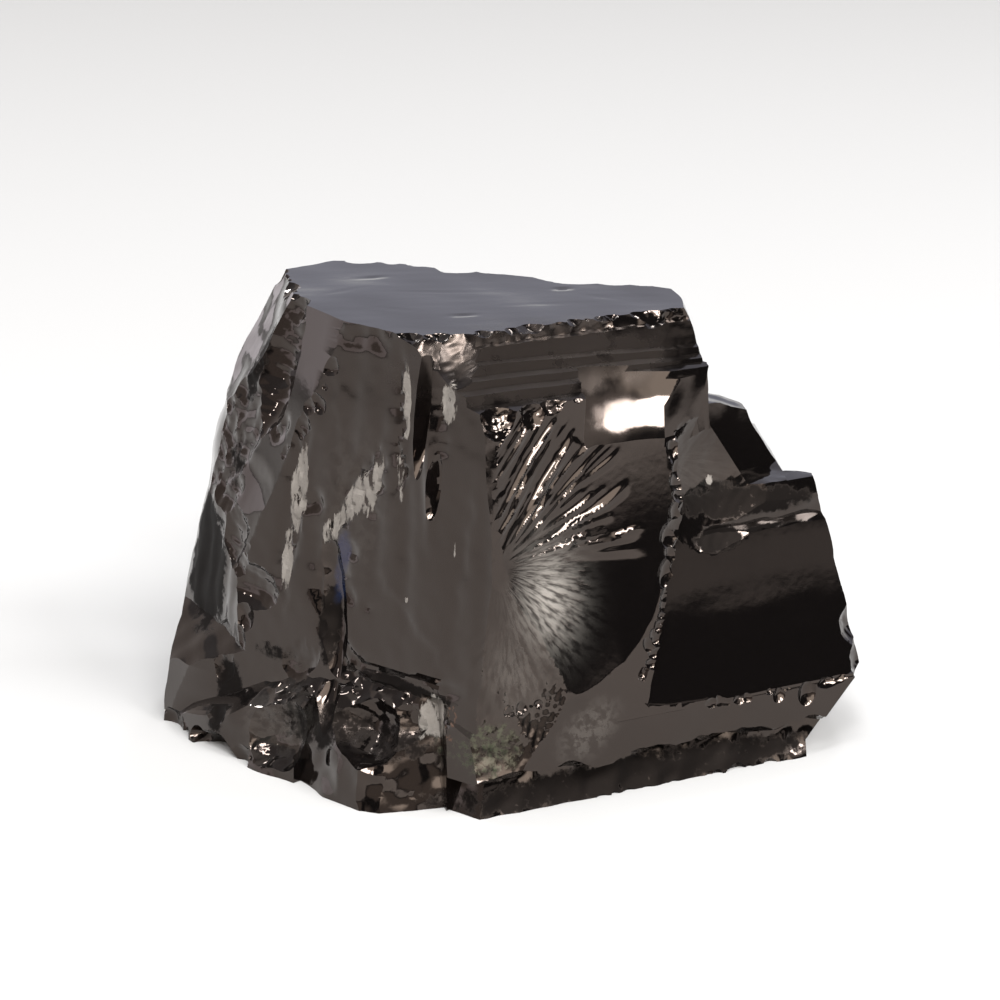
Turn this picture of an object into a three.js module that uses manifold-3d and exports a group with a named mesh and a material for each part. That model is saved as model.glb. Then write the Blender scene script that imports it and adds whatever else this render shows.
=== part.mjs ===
// Shungite lump: one solid, a block of carbon glass from which fracture breaks have been struck off.
// Millimetres, +Z up, the stone rests on its flat base at z = 0.
// Azimuth turns a break's outward normal from the front (-Y) towards the right (+X); tilt leans it up.
import * as THREE from 'three';
import { mergeVertices } from 'three/addons/utils/BufferGeometryUtils.js';
import Module from 'manifold-3d';

const wasm = await Module();
wasm.setup();

// ---- driving dimensions -------------------------------------------------------------------------
const ROUGH_BLOCK = { x: [-36, 34], y: [-26, 36], z: [-3, 44] };
const TOP_Z = 35.4; // level of the top cleavage
const SHELF_Z = 21.6; // level of the ledge at the right
const CREASE_Z = 6.2; // crease that runs low along the right front
const NEAR_CORNER = [-1.67, -14.11, 0]; // where the two front faces meet the base
const LEFT_FACE = { azimuth: -40, tilt: 4.5 };
const RIGHT_FACE = { azimuth: 30, tilt: 6 };
const STAIR_STEPS = [[1.5, 31.6], [2.3, 32.6], [3.0, 33.4], [3.6, 34.3]]; // inset and level of each step
const SCOOP = { right: 9.5, up: 21.5, radii: [-38, -140], depth: 0.34 }; // big conchoidal hollow
const BRIM_Z = 33.1; // level down to which the front rim of the top is chipped back
const FOOT_Z = 3; // level under which the foot of both fronts steps in
const CENTRE_SHIFT = [0.43, -4.55, 0]; // puts the middle of the footprint on the axis
const COARSE = 4; // facet length on broad breaks
const FINE = 1.3; // facet length in small hollows

const COLOUR = 0x1c191b;

// ---- frames and relief --------------------------------------------------------------------------
const radians = (degrees) => (degrees * Math.PI) / 180;

// Two directions along a break and its outward normal.
function axesOf(azimuth, tilt, roll = 0) {
  const [a, t, r] = [azimuth, tilt, roll].map(radians);
  const normal = new THREE.Vector3(Math.sin(a) * Math.cos(t), -Math.cos(a) * Math.cos(t), Math.sin(t));
  const level = new THREE.Vector3(Math.cos(a), Math.sin(a), 0);
  const rising = new THREE.Vector3().crossVectors(normal, level);
  const across = level.clone().multiplyScalar(Math.cos(r)).addScaledVector(rising, Math.sin(r));
  const along = level.clone().multiplyScalar(-Math.sin(r)).addScaledVector(rising, Math.cos(r));
  return { across, along, normal };
}

// A point given on one of the two front faces: millimetres sideways, up, and into the stone.
function onFace(face, sideways, up, inward) {
  const { across, along, normal } = axesOf(face.azimuth, face.tilt);
  return new THREE.Vector3(...NEAR_CORNER)
    .addScaledVector(across, sideways)
    .addScaledVector(along, up)
    .addScaledVector(normal, -inward)
    .toArray();
}
const onLeft = (left, up, inward = 0) => onFace(LEFT_FACE, -left, up, inward);
const onRight = (right, up, inward = 0) => onFace(RIGHT_FACE, right, up, inward);

// Repeatable stream of numbers between 0 and 1.
function stream(seed) {
  let state = seed * 7919 + 17;
  return () => {
    state = (state * 16807) % 2147483647;
    return state / 2147483647;
  };
}

// Low waves in three directions and two sizes.
function swellOf([height, length, seed]) {
  const next = stream(seed);
  const waves = [];
  for (const [high, long] of [[height, length], [height * 0.45, length / 2]]) {
    for (let i = 0; i < 3; i += 1) {
      const turn = 2 * Math.PI * next();
      const phase = 2 * Math.PI * next();
      waves.push({ high: high / 3, turn, phase, long: long * (0.8 + 0.45 * next()) });
    }
  }
  return (u, v) => waves.reduce((sum, w) => {
    const distance = u * Math.cos(w.turn) + v * Math.sin(w.turn);
    return sum + w.high * Math.sin((2 * Math.PI * distance) / w.long + w.phase);
  }, 0);
}

// ---- break surfaces -----------------------------------------------------------------------------
const toManifold = (geometry) => {
  const bare = new THREE.BufferGeometry();
  bare.setAttribute('position', geometry.getAttribute('position'));
  bare.setIndex(geometry.getIndex());
  const merged = mergeVertices(bare, 1e-4);
  return new wasm.Manifold(new wasm.Mesh({
    numProp: 3,
    vertProperties: new Float32Array(merged.getAttribute('position').array),
    triVerts: new Uint32Array(merged.getIndex().array),
  }));
};

// The space outside one break: a slab whose inner face is the break. Radii bend it (a positive
// radius bulges out, a negative one hollows in, 0 stays straight).
function outside(at, azimuth, tilt, shape = {}) {
  const { roll = 0, radii = [0, 0], swell, span = [120, 120], deep = 80 } = shape;
  const curved = swell !== undefined || radii[0] !== 0 || radii[1] !== 0;
  const step = shape.step ?? COARSE;
  const cuts = span.map((size) => (curved ? Math.max(4, Math.round(size / step)) : 1));
  const slab = new THREE.BoxGeometry(span[0], span[1], deep, cuts[0], cuts[1], 1);
  slab.translate(0, 0, deep / 2);
  const waves = swell ? swellOf(swell) : () => 0;
  const points = slab.getAttribute('position');
  for (let i = 0; i < points.count; i += 1) {
    if (points.getZ(i) > 1e-6) continue;
    const [u, v] = [points.getX(i), points.getY(i)];
    const bendU = radii[0] === 0 ? 0 : (u * u) / (2 * radii[0]);
    const bendV = radii[1] === 0 ? 0 : (v * v) / (2 * radii[1]);
    points.setZ(i, waves(u, v) - bendU - bendV);
  }
  const { across, along, normal } = axesOf(azimuth, tilt, roll);
  slab.applyMatrix4(new THREE.Matrix4().makeBasis(across, along, normal).setPosition(...at));
  return toManifold(slab);
}

// A shallow dish: `at` is its floor, `half` its half sizes where it opens.
function dish(at, azimuth, tilt, half, depth, shape = {}) {
  const radii = half.map((size) => (-size * size) / (2 * depth));
  const span = half.map((size) => size * 3.4);
  return outside(at, azimuth, tilt, { step: FINE, ...shape, radii, span, deep: depth * 8 + 3 });
}

const belowLevel = (z) => outside([0, 0, z], 0, -90);
const common = (surfaces) => surfaces.reduce((a, b) => a.intersect(b));

// ---- the breaks, biggest first. Each removes what lies outside all of its surfaces ---------------
const sideWall = () => outside([15.4, -0.6, 31.5], 102, 3, { swell: [0.15, 8, 18] });
const shelfEnd = () => outside([18.9, 8, 25.3], 95, 30, { swell: [0.2, 6, 21] });

const outline = [
  [outside([0, 0, TOP_Z], 0, 90, { swell: [0.08, 16, 3] })],
  [outside([0, 0, 0], 0, -90)],
  [outside([-14.5, 21.6, TOP_Z], 171, 3, { swell: [0.5, 18, 5] })],
  [outside([-14.2, 21, TOP_Z], 158, 6, { swell: [0.3, 12, 55] }),
    outside([6, 14, 27], 140, 66, { swell: [0.4, 9, 56] })],
  [outside([-17.2, 10.5, TOP_Z], -81, 29, { swell: [0.25, 12, 6] })],
  [outside([-18, 17.6, TOP_Z], -139, 8, { swell: [0.2, 6, 66] })],
  [outside([-24.9, 12, 16], -87, 12.5, { swell: [0.5, 12, 7] })],
  [outside([26.5, 5, 10], 95, 13, { swell: [0.3, 10, 17] })],
  [outside([26.9, 3.5, 5.7], 80, -36), outside([23.3, 3, 0], 88, 4)],
];

const leftFront = [
  [outside(onLeft(26.2, 16), -64, 2, { swell: [0.25, 11, 9] }),
    outside(onLeft(27, 7.5), -62, 42, { swell: [0.2, 6, 67] })],
  [outside([-28.3, 8.6, 0], -58, 13, { swell: [0.1, 15, 8] })],
  [outside([-19.2, -3.2, 0], -46, 10, { swell: [0.3, 7, 88] })],
  [outside(onLeft(10, 20), LEFT_FACE.azimuth, LEFT_FACE.tilt, { swell: [0.12, 14, 4] }),
    outside(onLeft(13, 8.4), -42, 52, { radii: [40, 0], swell: [0.3, 9, 14] })],
  [outside([-14.2, -8.1, 0], -60, 14), belowLevel(8.5), outside([-16.4, -5, 0], 45, 0)],
  [outside([-11, -11.4, 0], -12, 12, { swell: [0.3, 8, 12] }), belowLevel(8.5),
    outside([-6.5, -10.4, 0], -80, 0)],
  [outside([-7.4, -11, 0], 14, 14), belowLevel(8.5), outside([-5, -10.4, 0], -76, 0)],
  [outside(onLeft(2, 6, -0.2), LEFT_FACE.azimuth, LEFT_FACE.tilt), outside(onLeft(4.4, 6), 50, 0)],
  [outside(onLeft(2, 0, 0.6), -40, 19), outside(onLeft(2, FOOT_Z, -1), -40, -75),
    outside(onLeft(4.4, 6), 50, 0)],
];

const rightFront = [
  [outside(onRight(9.7, 31.5), 30, 8.2, { swell: [0.1, 14, 14] }),
    outside(onRight(9.7, CREASE_Z, -1), 30, 80)],
  [outside(onRight(19, CREASE_Z, -1), 29, 0, { swell: [0.15, 10, 15] })],
  [outside(onRight(15, 0, 0.69), 28, 18), outside(onRight(15, FOOT_Z, -1.05), 28, -78)],
  [outside(onRight(24, 14, 0.89), 31, 16.7, { radii: [0, -81] }), outside(onRight(18.4, 20.7), 118, -19),
    outside(onRight(17, CREASE_Z + 0.2, -1), 30, 75)],
];

const shelf = [
  [sideWall(), outside([16.3, -0.5, 25.2], 95, 32),
    outside([20, 4, SHELF_Z], 30, 85, { swell: [0.15, 6, 19] }),
    outside([18, 6.8, 25], 38, 11, { radii: [0, -60] })],
  [sideWall(), outside([17, 8, 26.8], 95, 72, { swell: [0.2, 5, 20] })],
  [sideWall(), shelfEnd(), outside([20, 5, SHELF_Z], 30, 85)],
  [sideWall(), shelfEnd(), outside([21, 6.5, SHELF_Z], 166, 68, { swell: [0.2, 6, 57] })],
  [outside([13.3, 4, TOP_Z], 96, 16, { swell: [0.2, 6, 22] }), outside([14.6, 0, 32], 130, 72)],
];

const stair = STAIR_STEPS.map(([inset, level], k) => [
  outside(onRight(8, level, inset), 30, 10, { swell: [0.05, 9, 30 + k] }),
  outside(onRight(8, level - 0.35, inset), 30 + 3 * k, 74, { swell: [0.05, 9, 40 + k] }),
]);
stair.push(
  [outside([0, -3.9, TOP_Z], 30, 14, { swell: [0.1, 7, 50] }), outside([0, -3.8, TOP_Z - 0.8], 30, 84)],
  [outside([-6, -5.7, TOP_Z - 0.2], -5, 38, { swell: [0.2, 3, 51] }), outside([-3, -8, BRIM_Z], 0, 80)],
);

const notches = [
  [outside(onRight(19.5, 29, 1.2), 38, 8), outside(onRight(17.3, 30), 100, -6),
    outside(onRight(19, 27, 1), 30, 70)],
  [outside(onRight(26, 19.2, 2.3), 30, -12), outside(onRight(26, 18.8, 2.3), 30, 62),
    outside(onRight(21, 19), 110, -10)],
];

// A hollow that is bent like a dish but cut with a slab of the given span.
const bowl = (at, azimuth, tilt, radii, span, deep) => (
  outside(at, azimuth, tilt, { radii, span, deep, step: FINE }));

// Scallops along the block's rim: right, up, azimuth, tilt and half sizes of each.
const SCALLOPS = [
  [3.3, 30.2, 14, 24, [1.5, 2.2]],
  [5.7, 30.2, 38, 16, [1.5, 2.4]],
  [8.0, 30.4, 20, 30, [1.7, 2.2]],
  [9.7, 30.9, 40, 22, [1.0, 1.5]],
];

const hollows = [
  [bowl(onRight(SCOOP.right, SCOOP.up, SCOOP.depth), 30, 9.2, SCOOP.radii, [30, 44], 9)],
  [bowl(onRight(13.8, 29.2, 1.4), 24.5, 30, [-40, -15], [16, 12], 6),
    outside(onRight(10.3, 29.2), 112, -5)],
  ...SCALLOPS.map(([right, up, azimuth, tilt, half]) => (
    [dish(onRight(right, up, 0.7), azimuth, tilt, half, 0.7, { step: 0.8 })])),
  [dish(onRight(21, 23.5, 2.9), 38, 2, [4, 3.6], 0.7, { roll: 15 }),
    outside(onRight(18.3, 23.5), 120, 0)],
  [dish(onRight(26.8, 19.4, 1.5), 40, 20, [2.4, 0.9], 0.8, { step: 0.9 })],
  [bowl(onRight(2.6, 11, 0.2), 18, 5, [-40, -30], [26, 26], 7)],
  [bowl(onRight(1.4, 5.6, 0.6), 8, 12, [-20, -14], [16, 14], 6)],
  [dish(onLeft(8.3, 30, 1.3), -40, 4.5, [0.9, 5.5], 1.5, { roll: -3, step: 0.7 })],
  [dish(onLeft(6.7, 24.6, 0.7), -40, 4.5, [0.6, 2.6], 0.8, { roll: -6, step: 0.6 })],
  [dish(onLeft(23.4, 31.5, 3.2), -76, 14, [2.3, 6], 1.0, { roll: 4 })],
  [dish([-21.6, 6, 27.6], -75, 22, [3.2, 3.6], 1.4)],
  [dish(onLeft(26.5, 24.6, 0.9), -62, 2, [2.6, 3], 1.3)],
  [dish(onLeft(27.4, 15, 1), -62, 22, [3.1, 4], 1.5)],
  [dish(onLeft(27.6, 5.4, 0.1), -42, 19, [2.3, 4], 1.4, { roll: 12, swell: [0.3, 4, 94] })],
  [dish(onLeft(19.3, 2.6, -1.2), -42, 16, [4.2, 3.2], 1.7, { roll: 25, swell: [0.35, 4, 91] })],
  [dish(onLeft(16.6, 13.5, 1.3), -38, 6, [1.5, 6.2], 1.3, { roll: 8, step: 0.9 })],
  [dish(onLeft(19.5, 7.8, 0.3), -44, 22, [3.8, 2.8], 1.5, { roll: 20, swell: [0.3, 4, 93] })],
  [dish(onLeft(11.2, 5.4, -0.3), -30, 20, [3.8, 2.5], 1.6, { roll: -12, swell: [0.3, 4, 92] })],
  [dish(onLeft(6, 7.2, 0.5), -44, 10, [2.4, 2.4], 0.9)],
];

const back = [
  [dish([-5, 20.6, 13], 172, 6, [11, 8.5], 2.4, { step: 2.2, roll: 12, swell: [0.15, 8, 70] })],
  [outside([-21.5, 19, 12], -146, 4, { swell: [0.4, 9, 71] })],
  [outside([20.5, 16, 10], 134, 9, { swell: [0.4, 9, 72] })],
  [dish([9.5, 17, 8], 168, 12, [6.5, 5.5], 1.8, { roll: -20, step: 1.8 })],
  [dish([-13, 22.5, 27], 178, 10, [5, 4.5], 1.6, { step: 1.8 })],
  [outside([3, 18.9, 5], 175, -13, { swell: [0.3, 8, 73] })],
  [outside([-20, 17.7, 24], -141, 6, { swell: [0.35, 8, 74] }),
    outside([-21, 17, 15], -150, 56, { swell: [0.5, 7, 75] })],
  [outside([-6, 20.3, 20], 172, 3, { swell: [0.3, 9, 76] }),
    outside([-6, 20.5, 15], 176, 60, { swell: [0.5, 8, 77] }),
    outside([-4, 20, 20], -104, 6, { swell: [0.3, 6, 78] })],
  [dish([-22.6, 16.4, 8], -140, 4, [4.6, 4], 1.5, { step: 1.8, roll: 25 })],
  [dish([25.4, 9, 14], 100, 12, [4.5, 5], 1.3, { step: 1.8 })],
];

// ---- flakes struck off the rims ------------------------------------------------------------------
// Each rim: its two ends, azimuth and tilt of the direction it points, how many flakes, the range of
// their lengths, and the number that seeds them.
const RIMS = [
  [[-15.5, 0.6, TOP_Z], [-9, -5.2, TOP_Z], -40, 45, 4, [1.2, 2.6], 101],
  [[-9, -5.3, TOP_Z - 0.2], [-2.9, -5.4, TOP_Z - 0.2], -5, 45, 4, [1, 2.2], 102],
  [[-2.9, -5.3, TOP_Z], [13.2, 3.8, TOP_Z], 30, 50, 8, [1, 2.6], 103],
  [[-18.3, 17.5, TOP_Z], [-15.5, 0.6, TOP_Z], -82, 55, 5, [1.4, 4], 104],
  [[-14, 21, TOP_Z], [12.4, 10.7, TOP_Z], 158, 50, 7, [1.2, 5], 105],
  [[-1.3, -11, 31.5], [11.5, -3.4, 31], 30, 45, 7, [0.9, 2.2], 106],
  [[-1.3, -11.6, 29], [-1.6, -13.4, 18], -5, 5, 5, [0.9, 2], 107],
  [onRight(18.1, 30), onRight(18.4, 20.7), 75, 5, 5, [0.8, 1.8], 108],
  [onRight(18.2, 20), onRight(16.6, 15.5), 60, 0, 3, [0.8, 1.6], 109],
  [onRight(5, FOOT_Z, -1), onRight(30, FOOT_Z, -1), 28, -10, 8, [0.8, 1.6], 110],
  [onRight(18, CREASE_Z, -1.1), onRight(32, CREASE_Z, -1.1), 30, 5, 5, [0.8, 1.6], 111],
  [onRight(24, 21.8, 1.3), onRight(31, 21.4, 1.3), 30, 50, 4, [0.9, 2], 112],
  [onLeft(26.2, 8), onLeft(26.2, 18), -52, 3, 5, [1.2, 3], 113],
  [onLeft(24, 22), onLeft(17, 32), -52, 6, 5, [1.2, 3], 114],
  [[-22.4, 9, 29], [-27.8, 8.3, 4], -78, 12, 8, [1.4, 4.5], 115],
  [[24.4, 3.2, 21], [26.9, 3.2, 7], 62, 12, 6, [1.2, 3], 116],
  [[-14.8, 22, 31], [-16, 24, 4], -165, 3, 6, [1.6, 5], 117],
  [[-2, 20.3, 27.3], [16.5, 17.7, 23], 165, 35, 6, [1.2, 3.4], 118],
  [[-28, 9, 0.8], [-19.4, -3, 0.8], -55, -30, 3, [1.2, 2.8], 119],
  [onRight(4, 0.2, 0.7), onRight(26, 0.2, 0.7), 28, -50, 3, [0.8, 1.8], 120],
  [[16, 15.5, 21], [17, 15.8, 4], 155, 5, 4, [1.6, 4], 121],
];

// Flat bevels along a rim: blocks that lean at random and dip below the rim by a small share.
function flakesOn([start, end, azimuth, tilt, count, [small, large], seed]) {
  const next = stream(seed);
  const from = new THREE.Vector3(...start);
  const to = new THREE.Vector3(...end);
  const rim = to.clone().sub(from).normalize();
  const outward = axesOf(azimuth, tilt).normal;
  const sideways = new THREE.Vector3().crossVectors(outward, rim).normalize();
  return Array.from({ length: count }, (_, i) => {
    const long = small + (large - small) * next() ** 2;
    const bite = 0.1 + 0.12 * long * next();
    const lean = outward.clone()
      .addScaledVector(rim, 0.9 * (next() - 0.5))
      .addScaledVector(sideways, 0.9 * (next() - 0.5))
      .normalize();
    const across = new THREE.Vector3().crossVectors(sideways, lean).normalize();
    const along = new THREE.Vector3().crossVectors(lean, across);
    const place = from.clone().lerp(to, (i + 0.1 + 0.8 * next()) / count);
    const block = new THREE.BoxGeometry(long, long * (0.7 + next()), 4);
    block.translate(0, 0, 2);
    block.applyMatrix4(new THREE.Matrix4().makeBasis(across, along, lean)
      .setPosition(place.addScaledVector(outward, -bite)));
    return [toManifold(block)];
  });
}
const flakes = RIMS.flatMap(flakesOn);

// ---- the stone ----------------------------------------------------------------------------------
function makeStone() {
  const sizes = ['x', 'y', 'z'].map((axis) => ROUGH_BLOCK[axis][1] - ROUGH_BLOCK[axis][0]);
  const middle = ['x', 'y', 'z'].map((axis) => (ROUGH_BLOCK[axis][1] + ROUGH_BLOCK[axis][0]) / 2);
  const block = new THREE.BoxGeometry(...sizes);
  block.translate(...middle);
  let stone = toManifold(block);
  for (const breaks of [outline, leftFront, rightFront, shelf, stair, notches, hollows, back, flakes]) {
    for (const surfaces of breaks) stone = stone.subtract(common(surfaces));
  }
  return stone;
}

const { vertProperties, triVerts } = makeStone().getMesh();
const surface = new THREE.BufferGeometry();
surface.setAttribute('position', new THREE.BufferAttribute(new Float32Array(vertProperties), 3));
surface.setIndex(new THREE.BufferAttribute(new Uint32Array(triVerts), 1));
surface.translate(...CENTRE_SHIFT);
surface.computeVertexNormals();

const stone = new THREE.Mesh(surface, new THREE.MeshStandardMaterial({
  color: COLOUR,
  roughness: 0.18,
  metalness: 0.25,
  flatShading: true,
}));
stone.name = 'STONE';

const part = new THREE.Group();
part.name = 'SHUNGITE';
part.add(stone);
export default part;
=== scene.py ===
"""A lump of shungite: black carbon glass with flat cleavages, conchoidal scoops, rib marks and chips.

The stone is a rough block from which fracture breaks are struck off. A break is a slab whose inner
face carries the fracture's relief, and it removes whatever lies outside it. Lengths are in
millimetres until a mesh is written, which is in metres.
"""
import math

import bpy
import numpy as np
from mathutils import Matrix, Vector


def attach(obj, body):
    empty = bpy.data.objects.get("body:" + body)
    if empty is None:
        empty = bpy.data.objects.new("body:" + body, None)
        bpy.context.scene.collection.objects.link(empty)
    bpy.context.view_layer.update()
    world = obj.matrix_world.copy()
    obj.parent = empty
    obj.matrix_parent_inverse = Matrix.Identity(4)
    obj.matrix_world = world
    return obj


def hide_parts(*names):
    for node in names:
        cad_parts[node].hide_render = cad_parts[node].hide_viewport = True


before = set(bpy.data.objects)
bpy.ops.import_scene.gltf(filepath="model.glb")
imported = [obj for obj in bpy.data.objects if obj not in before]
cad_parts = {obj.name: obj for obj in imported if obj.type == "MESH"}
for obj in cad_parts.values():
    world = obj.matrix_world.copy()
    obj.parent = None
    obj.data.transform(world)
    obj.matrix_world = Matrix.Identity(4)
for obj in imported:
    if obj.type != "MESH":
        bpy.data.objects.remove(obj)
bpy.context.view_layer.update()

bl_info = {
    "name": "Shungite stone",
    "version": (1, 0, 0),
    "blender": (4, 5, 0),
    "location": "3D View > Sidebar > Shungite",
    "description": "Breaks a lump of glassy black shungite out of a rough block",
    "category": "Add Mesh",
}

MM = 0.001
NODE = "STONE"

# ---- driving dimensions, in millimetres ----------------------------------------------------------
ROUGH_BLOCK = ((-36, 34), (-26, 36), (-3, 44))
NEAR_CORNER = np.array([-1.67, -14.11, 0.0])  # where the two front faces meet the base
LEFT_FACE = (-40, 4.5)  # azimuth and tilt, degrees
RIGHT_FACE = (30, 6)
STAIR_STEPS = ((1.5, 31.6), (2.3, 32.6), (3.0, 33.4), (3.6, 34.3))  # inset and level of each step
BRIM_Z = 33.1  # level of the brim over the left front's corner
FOOT_Z = 3.0  # level under which the foot of both fronts steps in
CENTRE_SHIFT = np.array([0.43, -4.55, 0.0])  # puts the middle of the footprint on the axis
REACH = 120  # side of a slab that crosses the whole stone
DEEP = 80  # how far out a slab reaches
COARSE = 6.0  # facet length outside a slab's fine window
RIPPLE_REACH = 30  # distance over which a break's ripples fade
LINE_WAVES = 5  # sines in a wandering line
FAN_SPREAD = math.radians(48)  # up to here the scoop's ribs are wedges, beyond it strips
FAN_WEDGES = (8.3, 5.2, 3.3, 2.1)  # degrees from rib to rib, for each of four sizes of rib
STRIP_START = 5.0  # distance at which a wedge is as wide as the strip beyond it
PATCH_DEPTH = 9  # how far in and out of its face a stain reaches
HACKLE_DEPTH = 4  # the same for the hackles
ARC_RADIUS = 5  # where a hackle's arc length is measured
SHARP_ANGLE = math.radians(26)  # edges that bend more than this stay crisp


# ---- sizes and colours a user would change -------------------------------------------------------
class ShungiteStone(bpy.types.PropertyGroup):
    """Levels, depths and colours of the stone"""
    top: bpy.props.FloatProperty(
        name="Top", description="Level of the top cleavage above the base",
        default=35.4 * MM, unit="LENGTH")
    ledge: bpy.props.FloatProperty(
        name="Ledge", description="Level of the ledge at the right",
        default=21.6 * MM, unit="LENGTH")
    crease: bpy.props.FloatProperty(
        name="Crease", description="Level of the crease low on the right front",
        default=6.2 * MM, unit="LENGTH")
    scoop: bpy.props.FloatProperty(
        name="Scoop depth", description="Depth of the big conchoidal hollow",
        default=0.72 * MM, unit="LENGTH")
    ribs: bpy.props.FloatProperty(
        name="Rib slope", description="Height of the scoop's rib marks over their width",
        default=0.2, min=0, max=1)
    facet: bpy.props.FloatProperty(
        name="Facet", description="Facet length on the broad fronts",
        default=0.4 * MM, unit="LENGTH")
    glass: bpy.props.StringProperty(
        name="Glass", description="Body colour of the carbon glass, sRGB hex", default="#060505")
    dust: bpy.props.StringProperty(
        name="Dust", description="Colour of the powdery dust, sRGB hex", default="#7d7974")
    rust: bpy.props.StringProperty(
        name="Rust", description="Colour of the rusty specks, sRGB hex", default="#3a281e")
    film: bpy.props.StringProperty(
        name="Film", description="Colour of the thin blue film, sRGB hex", default="#121a2e")
    moss: bpy.props.StringProperty(
        name="Green stain", description="Colour of the greenish stain, sRGB hex", default="#20261a")


class ShungiteStage(bpy.types.PropertyGroup):
    """Floor and camera"""
    floor: bpy.props.StringProperty(
        name="Floor", description="Floor colour, sRGB hex", default="#acacac")
    floor_side: bpy.props.FloatProperty(
        name="Floor side", description="Side of the square floor", default=6.0, unit="LENGTH")
    elevation: bpy.props.FloatProperty(
        name="Elevation", description="How far the camera looks down",
        default=math.radians(17), subtype="ANGLE")
    distance: bpy.props.FloatProperty(
        name="Distance", description="From the camera to the stone", default=0.256, unit="LENGTH")
    lens: bpy.props.FloatProperty(
        name="Lens", description="Focal length in millimetres", default=120.0)


# ---- directions and relief -----------------------------------------------------------------------
def axes_of(azimuth, tilt, roll=0.0):
    """Level direction, rising direction and outward normal of a break. Azimuth turns the normal
    from the front towards the right, tilt leans it up, roll turns the first two about it."""
    a, t, r = np.radians([azimuth, tilt, roll])
    normal = np.array([np.sin(a) * np.cos(t), -np.cos(a) * np.cos(t), np.sin(t)])
    level = np.array([np.cos(a), np.sin(a), 0.0])
    rising = np.cross(normal, level)
    across = level * np.cos(r) + rising * np.sin(r)
    along = -level * np.sin(r) + rising * np.cos(r)
    return across, along, normal


def on_face(face, sideways, up, inward):
    """A point on a front face: millimetres sideways, up and into the stone from the near corner."""
    across, along, normal = axes_of(*face)
    return NEAR_CORNER + across * sideways + along * up - normal * inward


def on_left(left, up, inward=0.0):
    """A point on the left front, counted leftwards."""
    return on_face(LEFT_FACE, -left, up, inward)


def on_right(right, up, inward=0.0):
    """A point on the right front, counted rightwards."""
    return on_face(RIGHT_FACE, right, up, inward)


def stream(seed):
    """Repeatable numbers between 0 and 1."""
    state = seed * 7919 + 17
    while True:
        state = state * 16807 % 2147483647
        yield state / 2147483647


def swell(height, length, seed):
    """Low waves in three directions and two sizes, added up."""
    numbers = stream(seed)
    waves = []
    for high, long in ((height, length), (height * 0.45, length / 2)):
        for _ in range(3):
            turn = 2 * np.pi * next(numbers)
            phase = 2 * np.pi * next(numbers)
            waves.append((high / 3, long * (0.8 + 0.45 * next(numbers)), turn, phase))

    def relief(u, v):
        total = np.zeros_like(u)
        for high, long, turn, phase in waves:
            total += high * np.sin(2 * np.pi * (u * np.cos(turn) + v * np.sin(turn)) / long + phase)
        return total
    return relief


def bend(radius_u, radius_v):
    """A parabola each way: a positive radius bulges out, a negative one hollows in, 0 is straight."""
    def relief(u, v):
        total = np.zeros_like(u)
        if radius_u:
            total -= u * u / (2 * radius_u)
        if radius_v:
            total -= v * v / (2 * radius_v)
        return total
    return relief


def smooth(low, high, value):
    """0 below low, 1 above high, and a smooth ramp between."""
    t = np.clip((value - low) / (high - low), 0, 1)
    return t * t * (3 - 2 * t)


def noise_line(seed, length):
    """A wandering line: sines of unlike lengths along one coordinate, added up to between about -1
    and 1."""
    numbers = stream(seed)
    waves = [(length * (0.5 + 1.3 * next(numbers)), 2 * np.pi * next(numbers))
             for _ in range(LINE_WAVES)]

    def line(s):
        return sum(np.sin(2 * np.pi * s / long + phase) for long, phase in waves) / LINE_WAVES ** 0.5
    return line


def striations(turn, height, spacing, seed, wander=0.15):
    """Fine parallel grooves: a saw of uneven spacing across the given direction, which wanders and
    grows and shrinks along it."""
    drift = noise_line(seed, spacing * 9)
    swing = noise_line(seed + 1, spacing * 25)
    angle = math.radians(turn)

    def relief(u, v):
        run = u * np.cos(angle) + v * np.sin(angle)
        side = -u * np.sin(angle) + v * np.cos(angle) + wander * swing(run)
        place = side / spacing + 0.6 * drift(side)
        return height * (place % 1.0) * (0.4 + 0.6 * (0.5 + 0.5 * drift(run * 0.7 + 3)))
    return relief


def ripples(centre, height, spacing, seed):
    """Arcs about the point of impact: a sine of the distance from it, which wavers with the bearing
    and fades as the distance grows."""
    drift = noise_line(seed, 5)

    def relief(u, v):
        du, dv = u - centre[0], v - centre[1]
        away = np.hypot(du, dv) + 0.25 * drift(np.arctan2(dv, du) * 6)
        return height * np.sin(2 * np.pi * away / spacing) * np.exp(-away / RIPPLE_REACH)
    return relief


def troughs(rows):
    """Long soft dents, each a bell curve across and a flatter one along. A row gives a middle, half
    sizes, a turn and a depth, and a negative depth is a ridge."""
    def relief(u, v):
        total = np.zeros_like(u)
        for middle, half, turn, depth in rows:
            angle = math.radians(turn)
            du, dv = u - middle[0], v - middle[1]
            a = (du * np.cos(angle) + dv * np.sin(angle)) / half[0]
            b = (-du * np.sin(angle) + dv * np.cos(angle)) / half[1]
            total -= depth * np.exp(-a * a - b ** 4)
        return total
    return relief


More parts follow.
